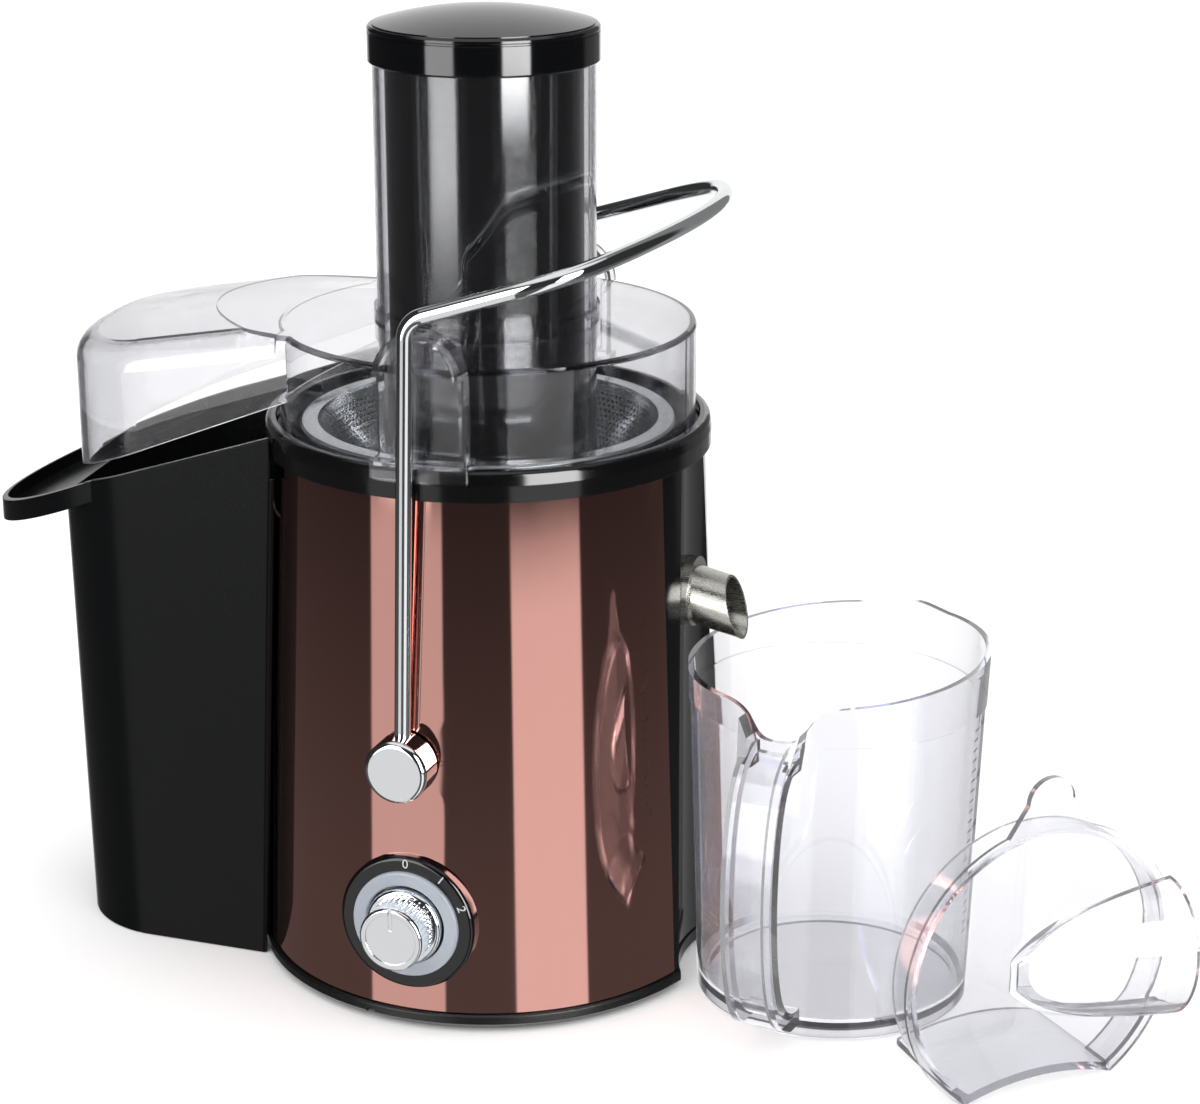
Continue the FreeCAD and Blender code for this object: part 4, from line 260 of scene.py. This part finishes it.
def san_nodes(tree, tone):
    """Clear walls with faint flow marks, whose edges gather a blue-violet tint."""
    place = add(tree, "ShaderNodeTexCoord").outputs["Object"]
    flow = add(tree, "ShaderNodeTexNoise", {"Vector": place, "Scale": 1 / SAN_FLOW, "Detail": 2.0})
    rough = add(tree, "ShaderNodeMapRange", {
        "Value": flow.outputs["Fac"], "From Min": NOISE_LOW, "From Max": NOISE_HIGH,
        "To Min": 0.0, "To Max": SAN_ROUGHEST})
    shader = add(tree, "ShaderNodeBsdfPrincipled", {
        "Base Color": (*tone, 1), "Roughness": rough.outputs["Result"], "IOR": 1.5,
        "Transmission Weight": 1.0})
    straight = add(tree, "ShaderNodeBsdfTransparent", {"Color": (*tone, 1)})
    wall = add(tree, "ShaderNodeMixShader", {
        0: SAN_STRAIGHT_SHARE, 1: shader.outputs["BSDF"], 2: straight.outputs["BSDF"]})
    depth = add(tree, "ShaderNodeVolumeAbsorption", {
        "Color": (*SAN_DEPTH_TONE, 1), "Density": SAN_DEPTH_DENSITY})
    add(tree, "ShaderNodeOutputMaterial", {
        "Surface": wall.outputs["Shader"], "Volume": depth.outputs["Volume"]})


def clear_san(name, tone):
    """Clear moulded SAN in a light tone."""
    return made_once(name, san_nodes, tone)


PAINTED_GLOW_CLOUD = 7 * MM                                     # size of the brighter and darker patches of painted glow
PAINTED_GLOW_STEPS = ((0.42, "#8d949c"), (0.72, "#7f8fd0"))     # where each tone of the painted glow begins


def painted_glow_ring_nodes(tree):
    """Frosted plastic with a painted glow: emission in uneven patches, with no lamp behind it."""
    place = add(tree, "ShaderNodeTexCoord").outputs["Object"]
    cloud = add(tree, "ShaderNodeTexNoise", {"Vector": place, "Scale": 1 / PAINTED_GLOW_CLOUD, "Detail": 1.0})
    glow = add(tree, "ShaderNodeValToRGB", {"Fac": cloud.outputs["Fac"]})
    for element, (position, code) in zip(glow.color_ramp.elements, PAINTED_GLOW_STEPS):
        element.position = position
        element.color = (*linear(code), 1)
    # the emission is painted glow: the ring is no lamp, yet it gives off light in uneven patches
    shader = add(tree, "ShaderNodeBsdfPrincipled", {
        "Base Color": (*linear("#c9d0d8"), 1), "Roughness": 0.18, "IOR": 1.49, "Transmission Weight": 0.35,
        "Emission Color": glow.outputs["Color"], "Emission Strength": 0.12})
    add(tree, "ShaderNodeOutputMaterial", {"Surface": shader.outputs["BSDF"]})


def painted_glow_ring():
    """Frosted acrylic ring: cool grey, with a faint blue painted glow, as no lamp lights it from behind."""
    return made_once("acrylic_light_guide", painted_glow_ring_nodes)


def dress(material, *nodes):
    """Gives CAD nodes their material."""
    for name in nodes:
        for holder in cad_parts[name].material_slots:
            holder.material = material


def through_light(*objects):
    """Clear pieces let light through, so they cast no shadow."""
    for piece in objects:
        piece.visible_shadow = False


def new_piece(name, mesh, material, body):
    """A mesh as a piece of the juicer that rides on a body."""
    mesh.materials.clear()
    mesh.materials.append(material)
    piece = bpy.data.objects.new(name, mesh)
    bpy.context.scene.collection.objects.link(piece)
    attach(piece, body)
    return piece


CAPITAL_SHARE = 0.7     # height of a capital in the built-in font, as a share of its size


def printed(text, height, thickness):
    """Text as a thin mesh, centred and facing +Z."""
    face = bpy.data.curves.new("numeral", "FONT")
    face.body = text
    face.size = height / CAPITAL_SHARE
    face.extrude = thickness / 2
    face.align_x = "CENTER"
    face.align_y = "CENTER"
    holder = bpy.data.objects.new("numeral", face)
    bpy.context.scene.collection.objects.link(holder)
    bpy.context.view_layer.update()
    mesh = bpy.data.meshes.new_from_object(holder.evaluated_get(bpy.context.evaluated_depsgraph_get()))
    bpy.data.objects.remove(holder)
    return mesh


# ---------------------------------------------------------------- stage
CAMERA_PLACE = (0.3786, -0.9731, 0.5006)
CAMERA_AZIMUTH = 19.0           # degrees from the front towards +X
CAMERA_ELEVATION = 18.37        # degrees above the table
CAMERA_LENS = 87.96             # mm
CAMERA_SENSOR = 36.0            # mm
CAMERA_CLIP = (0.05, 50.0)      # nearest and farthest distance that is drawn
FLOOR_HALF_WIDTH = 5.0
FLOOR_SHADE = 0.985             # brightness of its darker patches, 1 where they are no darker
FLOOR_Z = -0.0004               # a hair below the feet, so that two faces never lie in one plane
SOFTBOX_WIDTH = 16.0
SOFTBOX_Z = 2.2
DARK_FADE = (-22, -13)          # heights in degrees between which the dark room changes tone
DARK_TONES = (0.11, 0.035)      # its radiance below and above them


class JUICER_OT_stage(bpy.types.Operator):
    """Camera, floor and soft studio light"""
    bl_idname = "juicer.stage"
    bl_label = "Stage"

    def execute(self, context):
        scene, stage = context.scene, context.scene.juicer_stage
        self.camera(scene)
        self.floor(scene, stage)
        self.softbox(scene, stage)
        scene.world = self.studio(stage)
        scene.world.cycles.sampling_method = "NONE"
        scene.view_settings.view_transform = "Standard"
        return {"FINISHED"}

    @staticmethod
    def camera(scene):
        """Camera that looks slightly down at the front, from its right."""
        azimuth, elevation = math.radians(CAMERA_AZIMUTH), math.radians(CAMERA_ELEVATION)
        back = Vector((math.sin(azimuth) * math.cos(elevation), -math.cos(azimuth) * math.cos(elevation),
                       math.sin(elevation)))
        lens = bpy.data.cameras.new("camera")
        lens.lens = CAMERA_LENS
        lens.sensor_width = CAMERA_SENSOR
        lens.clip_start, lens.clip_end = CAMERA_CLIP
        camera = bpy.data.objects.new("camera", lens)
        camera.location = CAMERA_PLACE
        camera.rotation_mode = "QUATERNION"
        camera.rotation_quaternion = (-back).to_track_quat("-Z", "Y")
        scene.collection.objects.link(camera)
        scene.camera = camera

    def floor(self, scene, stage):
        """Plain floor under the feet."""
        plane = bpy.data.meshes.new("floor")
        half = FLOOR_HALF_WIDTH
        corners = ((-half, -half), (half, -half), (half, half), (-half, half))
        plane.from_pydata([(x, y, FLOOR_Z) for x, y in corners], [], [(0, 1, 2, 3)])
        plane.materials.append(made_once("floor_paint", self.floor_nodes, stage))
        floor = bpy.data.objects.new("floor", plane)
        scene.collection.objects.link(floor)
        floor.visible_glossy = False

    @staticmethod
    def softbox(scene, stage):
        """Overhead light that only lights: neither the eye nor a shiny or clear surface sees it."""
        lamp = bpy.data.lights.new("overhead_softbox", "AREA")
        lamp.shape = "SQUARE"
        lamp.size = SOFTBOX_WIDTH
        lamp.energy = stage.overhead * math.pi * lamp.size ** 2
        softbox = bpy.data.objects.new("overhead_softbox", lamp)
        softbox.location = (0, 0, SOFTBOX_Z)
        softbox.visible_camera = softbox.visible_glossy = softbox.visible_transmission = False
        scene.collection.objects.link(softbox)

    @staticmethod
    def reflected(tree):
        """1 for light that has met a shiny surface, 0 for all other light."""
        bounces = add(tree, "ShaderNodeLightPath").outputs["Glossy Depth"]
        return add(tree, "ShaderNodeMath", {0: bounces, 1: 0.5}, operation="GREATER_THAN").outputs["Value"]

    def floor_nodes(self, tree, stage):
        """Matt white paint that shiny surfaces look through: they show the studio and not the floor."""
        place = add(tree, "ShaderNodeTexCoord").outputs["Object"]
        cloud = add(tree, "ShaderNodeTexNoise", {"Vector": place, "Scale": 2.0, "Detail": 1.0})
        tint = add(tree, "ShaderNodeMix", {
            "Factor": cloud.outputs["Fac"], "A": (*(c * FLOOR_SHADE for c in stage.floor), 1),
            "B": (*stage.floor, 1)}, data_type="RGBA")
        matt = add(tree, "ShaderNodeBsdfDiffuse", {"Color": tint.outputs["Result"], "Roughness": 0.4})
        gone = add(tree, "ShaderNodeBsdfTransparent")
        both = add(tree, "ShaderNodeMixShader", {
            0: self.reflected(tree), 1: matt.outputs["BSDF"], 2: gone.outputs["BSDF"]})
        add(tree, "ShaderNodeOutputMaterial", {"Surface": both.outputs["Shader"]})

    @staticmethod
    def band(tree, value, low, high, soft):
        """1 between two angles in degrees and 0 outside them, with soft edges."""
        edges = []
        for edge in (low, high):
            ramp = add(tree, "ShaderNodeMapRange", {
                "Value": value, "From Min": math.radians(edge - soft / 2),
                "From Max": math.radians(edge + soft / 2)}, interpolation_type="SMOOTHSTEP")
            edges.append(ramp.outputs["Result"])
        return add(tree, "ShaderNodeMath", {0: edges[0], 1: edges[1]}, operation="SUBTRACT").outputs["Value"]

    def studio(self, stage):
        """White to the eye and dim to matt surfaces; shiny ones see a dark room with bright panels."""
        world = bpy.data.worlds.new("studio")
        world.use_nodes = True
        tree = world.node_tree
        tree.nodes.clear()
        way = add(tree, "ShaderNodeSeparateXYZ", {
            "Vector": add(tree, "ShaderNodeTexCoord").outputs["Generated"]})
        front = add(tree, "ShaderNodeMath", {0: way.outputs["Y"], 1: -1.0}, operation="MULTIPLY")
        turn = add(tree, "ShaderNodeMath", {0: way.outputs["X"], 1: front.outputs["Value"]},
                   operation="ARCTAN2").outputs["Value"]
        behind = add(tree, "ShaderNodeMath", {0: turn}, operation="ABSOLUTE").outputs["Value"]
        rise = add(tree, "ShaderNodeMath", {0: way.outputs["Z"]}, operation="ARCSINE").outputs["Value"]
        dark = add(tree, "ShaderNodeMapRange", {
            "Value": rise, "From Min": math.radians(DARK_FADE[0]), "From Max": math.radians(DARK_FADE[1]),
            "To Min": DARK_TONES[0], "To Max": DARK_TONES[1]})
        # light that has crossed clear walls finds the room a little brighter, up to two crossings
        crossed = add(tree, "ShaderNodeLightPath").outputs["Transmission Depth"]
        clear = add(tree, "ShaderNodeMapRange", {
            "Value": crossed, "From Min": 0.0, "From Max": 2.0, "To Min": 0.0, "To Max": stage.clear_wall})
        total = add(tree, "ShaderNodeMath", {
            0: dark.outputs["Result"], 1: clear.outputs["Result"]}, operation="ADD").outputs["Value"]
        # which way round, its two ends and softness in degrees, then the same for height, and the radiance
        lights = (
            (turn, -42.5, -3.5, 1.5, -80, -13, 3, stage.left_wall),
            (turn, 31.5, 68, 1.5, -80, -14, 3, stage.right_wall),
            (turn, -38, -9, 3, -12.3, 35, 3, stage.left_box),
            (turn, 39, 67, 3, -9.8, 35, 2, stage.right_box),
            (turn, -200, -138, 18, -90, 100, 5, stage.back_wall),
            (turn, 138, 200, 10, -90, 100, 5, stage.back_flag),
            (behind, -10, 138, 18, 52, 100, 12, stage.back_wall),
        )
        for heading, left, right, soft, low, high, fade, strength in lights:
            across = self.band(tree, heading, left, right, soft)
            upright = self.band(tree, rise, low, high, fade)
            patch = add(tree, "ShaderNodeMath", {0: across, 1: upright}, operation="MULTIPLY")
            total = add(tree, "ShaderNodeMath", {0: patch.outputs["Value"], 1: strength, 2: total},
                        operation="MULTIPLY_ADD").outputs["Value"]
        white = (1, 1, 1, 1)
        matt = add(tree, "ShaderNodeLightPath").outputs["Is Diffuse Ray"]
        around = add(tree, "ShaderNodeMapRange", {"Value": matt, "To Min": 1.0, "To Max": stage.room})
        room = add(tree, "ShaderNodeBackground", {"Color": white, "Strength": around.outputs["Result"]})
        seen = add(tree, "ShaderNodeBackground", {"Color": white, "Strength": total})
        both = add(tree, "ShaderNodeMixShader", {
            0: self.reflected(tree), 1: room.outputs["Background"], 2: seen.outputs["Background"]})
        add(tree, "ShaderNodeOutputWorld", {"Surface": both.outputs["Shader"]})
        return world


# ---------------------------------------------------------------- motor base
class JUICER_OT_motor_base(bpy.types.Operator):
    """Housing, panel, ring, base plate, feet, screws and cord gland"""
    bl_idname = "juicer.motor_base"
    bl_label = "Motor base"

    def execute(self, context):
        dress(finish("rose_lacquered_steel"), "front_panel")
        dress(finish("gloss_abs"), "motor_housing", "top_ring")
        dress(finish("satin_abs"), "base_plate")
        dress(finish("nitrile_rubber"), "cord_gland", "foot_1", "foot_2", "foot_3", "foot_4")
        dress(finish("zinc_plate"), "base_screws")
        return {"FINISHED"}


class JUICER_OT_motor(bpy.types.Operator):
    """Motor, brackets, bearings, switches and circuit board"""
    bl_idname = "juicer.motor"
    bl_label = "Motor"

    def execute(self, context):
        dress(finish("electrical_steel"), "stator", "armature")
        dress(finish("copper_wire"), "field_coil_front", "field_coil_rear", "commutator")
        dress(finish("zinc_plate"), "bracket_lower", "bracket_upper", "motor_bolts")
        dress(finish("ground_steel"), "bearing_lower", "bearing_upper", "motor_shaft")
        dress(finish("pressed_carbon"), "brush_left", "brush_right")
        dress(finish("moulded_nylon"), "fan", "drive_coupling", "rotary_switch", "interlock_switch")
        dress(finish("circuit_laminate"), "circuit_board")
        dress(finish("nitrile_rubber"), "motor_mount_1", "motor_mount_2", "motor_mount_3", "motor_mount_4")
        return {"FINISHED"}


# each number on the dial and its heading in degrees from the top
DIAL_NUMBERS = (("0", 0.0), ("1", 36.0), ("2", 68.0))


class JUICER_OT_dial(bpy.types.Operator):
    """Dial plate, frosted ring with a painted glow, speed knob and printed numbers"""
    bl_idname = "juicer.dial"
    bl_label = "Dial"

    def execute(self, context):
        sizes = context.scene.juicer_sizes
        dress(finish("gloss_abs"), "dial_plate")
        # the frosted ring's glow is painted: its material gives off light, with no lamp behind it
        dress(painted_glow_ring(), "dial_ring")
        dress(finish("chrome_plate"), "knob_base", "speed_knob")
        low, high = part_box("dial_plate")
        centre = Vector(((low.x + high.x) / 2, low.y, (low.z + high.z) / 2))
        for text, heading in DIAL_NUMBERS:
            turn = math.radians(heading)
            mesh = printed(text, sizes.numeral_height, sizes.ink_thickness)
            spot = centre + Vector((math.sin(turn), 0, math.cos(turn))) * sizes.numeral_radius
            mesh.transform(Matrix.Translation(spot - Vector((0, sizes.ink_thickness / 2, 0)))
                           @ Matrix.Rotation(turn, 4, "Y") @ Matrix.Rotation(math.radians(90), 4, "X"))
            new_piece("dial_number_" + text, mesh, finish("printed_ink"), "base")
        return {"FINISHED"}


class JUICER_OT_bail(bpy.types.Operator):
    """Locking bail with its end caps and pivot bushes"""
    bl_idname = "juicer.bail"
    bl_label = "Locking bail"

    def execute(self, context):
        dress(finish("chrome_plate"), "bail_wire", "bail_cap_front", "bail_cap_rear")
        dress(finish("sintered_bronze"), "pivot_bush_front", "pivot_bush_rear")
        return {"FINISHED"}


class JUICER_OT_bowl(bpy.types.Operator):
    """Juice bowl, its seal and the juice spout"""
    bl_idname = "juicer.bowl"
    bl_label = "Bowl and spout"

    def execute(self, context):
        dress(finish("gloss_abs"), "juice_bowl")
        dress(finish("nitrile_rubber"), "bowl_seal")
        dress(finish("brushed_stainless"), "spout")
        return {"FINISHED"}


SIEVE_MARGIN = 0.06         # share of the wall without holes, at its foot and again at its top
SIEVE_WELD = 0.02 * MM      # points nearer than this are one


class JUICER_OT_sieve(bpy.types.Operator):
    """Sieve basket with its perforated wall"""
    bl_idname = "juicer.sieve"
    bl_label = "Sieve"

    def execute(self, context):
        sizes = context.scene.juicer_sizes
        dress(finish("satin_abs"), "sieve_base")
        dress(finish("pressed_stainless"), "sieve_rim", "grater_disc")
        low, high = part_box("sieve_mesh")
        foot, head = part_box("sieve_base")[1].x, high.x
        slant = math.hypot(head - foot, high.z - low.z)
        columns = round(math.pi * (foot + head) / sizes.hole_pitch)
        rows = round(slant / sizes.hole_pitch)
        share = sizes.hole_size / sizes.hole_pitch / 2
        # one cell of the wall: its outline and its hole, both as shares of the pitch
        ring = [(-0.5, -0.5), (0, -0.5), (0.5, -0.5), (0.5, 0), (0.5, 0.5), (0, 0.5), (-0.5, 0.5), (-0.5, 0)]
        hole = [(share * math.cos(math.radians(a)), share * math.sin(math.radians(a)))
                for a in range(-135, 225, 45)]
        sides = len(ring)
        spots, faces = [], []

        def spot(column, row):
            """Adds the point of the cone at a column and row of cells."""
            level = SIEVE_MARGIN + (1 - 2 * SIEVE_MARGIN) * row / rows
            turn = 2 * math.pi * column / columns
            radius = foot + (head - foot) * level - sizes.sieve_sheet / 2
            spots.append((radius * math.cos(turn), radius * math.sin(turn),
                          low.z + (high.z - low.z) * level))

        for row in range(rows):
            for column in range(columns):
                first = len(spots)
                shift = 0.5 * (row % 2)     # every other row stands half a cell further round
                for across, up in ring + hole:
                    spot(column + shift + across, row + 0.5 + up)
                for k in range(sides):
                    n = (k + 1) % sides
                    faces.append((first + k, first + n, first + sides + n, first + sides + k))
        # plain bands below and above the cells
        beyond = SIEVE_MARGIN * rows / (1 - 2 * SIEVE_MARGIN)
        for start, end in ((-beyond, 0), (rows, rows + beyond)):
            for column in range(columns):
                faces.append(tuple(range(len(spots), len(spots) + 4)))
                for across, row in ((0, start), (1, start), (1, end), (0, end)):
                    spot(column + across, row)
        mesh = bpy.data.meshes.new("sieve_basket")
        mesh.from_pydata(spots, [], faces)
        work = bmesh.new()
        work.from_mesh(mesh)
        bmesh.ops.remove_doubles(work, verts=work.verts, dist=SIEVE_WELD)
        bmesh.ops.recalc_face_normals(work, faces=work.faces)
        work.to_mesh(mesh)
        work.free()
        basket = new_piece("sieve_basket", mesh, finish("pressed_stainless"), "rotor")
        sheet = basket.modifiers.new("sheet", "SOLIDIFY")
        sheet.thickness, sheet.offset = sizes.sieve_sheet, 0.0
        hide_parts("sieve_mesh")
        return {"FINISHED"}


class JUICER_OT_lid(bpy.types.Operator):
    """Clear lid cover and feed tube"""
    bl_idname = "juicer.lid"
    bl_label = "Lid"

    def execute(self, context):
        dress(clear_san("grey_clear_san", context.scene.juicer_colours.lid), "lid_cover", "feed_tube")
        through_light(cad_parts["lid_cover"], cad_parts["feed_tube"])
        return {"FINISHED"}


class JUICER_OT_pusher(bpy.types.Operator):
    """Food pusher"""
    bl_idname = "juicer.pusher"
    bl_label = "Pusher"

    def execute(self, context):
        dress(finish("smoke_styrene"), "pusher_sleeve", "pusher_cap")
        return {"FINISHED"}


class JUICER_OT_container(bpy.types.Operator):
    """Pulp container"""
    bl_idname = "juicer.container"
    bl_label = "Pulp container"

    def execute(self, context):
        dress(finish("grained_polypropylene"), "pulp_container")
        return {"FINISHED"}


MARK_COUNT = 21
MARKS_PER_NUMBER = 5
TOP_VOLUME = 750            # number at the highest mark
MARK_VOLUME = 30            # volume between two marks
MARK_HEADING = 79           # degrees round the jug, from the front, to where the marks begin
MARK_NUMBER_SHARE = 0.8     # height of the jug's numbers as a share of the dial's
MARK_NUMBER_GAP = 5 * MM    # from the end of a mark to the middle of its number


class JUICER_OT_jug(bpy.types.Operator):
    """Juice jug with its filling marks"""
    bl_idname = "juicer.jug"
    bl_label = "Jug"

    def execute(self, context):
        sizes = context.scene.juicer_sizes
        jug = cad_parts["jug"]
        dress(clear_san("clear_san", context.scene.juicer_colours.clear), "jug")
        through_light(jug)
        jug.visible_glossy = False
        # the marks and numbers are laid out flat, and then wrapped round the jug
        work = bmesh.new()
        for step in range(MARK_COUNT):
            level = sizes.mark_top - step * sizes.mark_pitch
            bar = bmesh.ops.create_grid(work, x_segments=4, y_segments=1, size=0.5)["verts"]
            bmesh.ops.scale(work, verts=bar, vec=(sizes.mark_length, sizes.mark_width, 0))
            bmesh.ops.translate(work, verts=bar, vec=(sizes.mark_length / 2, level, 0))
            if step % MARKS_PER_NUMBER == 0:
                digits = printed(str(TOP_VOLUME - MARK_VOLUME * step),
                                 sizes.numeral_height * MARK_NUMBER_SHARE, 0)
                digits.transform(Matrix.Translation((sizes.mark_length + MARK_NUMBER_GAP, level, 0)))
                work.from_mesh(digits)
        low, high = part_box("jug")
        reach = high.x - low.x
        for vert in work.verts:
            turn = math.radians(MARK_HEADING) + vert.co.x / (reach / 2)
            out = Vector((math.sin(turn), -math.cos(turn), 0))
            start = Vector(((low.x + high.x) / 2, 0, vert.co.y)) + out * reach
            vert.co = jug.ray_cast(start, -out)[1] + out * sizes.ink_thickness / 2
        mesh = bpy.data.meshes.new("jug_marks")
        work.to_mesh(mesh)
        work.free()
        marks = new_piece("jug_marks", mesh, finish("graduation_ink"), "jug_body")
        ink = marks.modifiers.new("ink", "SOLIDIFY")
        ink.thickness, ink.offset = sizes.ink_thickness, 1.0
        return {"FINISHED"}


class JUICER_OT_froth_cover(bpy.types.Operator):
    """Jug lid with its froth separator"""
    bl_idname = "juicer.froth_cover"
    bl_label = "Jug lid"

    def execute(self, context):
        dress(clear_san("clear_san", context.scene.juicer_colours.clear), "jug_lid")
        through_light(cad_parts["jug_lid"])
        return {"FINISHED"}


OPERATORS = (JUICER_OT_stage, JUICER_OT_motor_base, JUICER_OT_motor, JUICER_OT_dial, JUICER_OT_bail,
             JUICER_OT_bowl, JUICER_OT_sieve, JUICER_OT_lid, JUICER_OT_pusher, JUICER_OT_container,
             JUICER_OT_jug, JUICER_OT_froth_cover)
GROUPS = {"juicer_sizes": JuicerSizes, "juicer_colours": JuicerColours, "juicer_stage": JuicerStage}


class JUICER_PT_sidebar(bpy.types.Panel):
    """Lists the juicer's pieces and settings"""
    bl_idname = "JUICER_PT_sidebar"
    bl_label = "Juicer"
    bl_space_type = "VIEW_3D"
    bl_region_type = "UI"
    bl_category = "Juicer"

    def draw(self, context):
        for group in GROUPS:
            settings = getattr(context.scene, group)
            for name in settings.__annotations__:
                self.layout.prop(settings, name)
        for operator in OPERATORS:
            self.layout.operator(operator.bl_idname)


def register():
    for made in (*GROUPS.values(), *OPERATORS, JUICER_PT_sidebar):
        bpy.utils.register_class(made)
    for name, group in GROUPS.items():
        setattr(bpy.types.Scene, name, bpy.props.PointerProperty(type=group))


def unregister():
    for name in GROUPS:
        delattr(bpy.types.Scene, name)
    for made in reversed((*GROUPS.values(), *OPERATORS, JUICER_PT_sidebar)):
        bpy.utils.unregister_class(made)


def main():
    register()
    for operator in OPERATORS:
        group, name = operator.bl_idname.split(".")
        getattr(getattr(bpy.ops, group), name)()


if __name__ == "__main__":
    main()
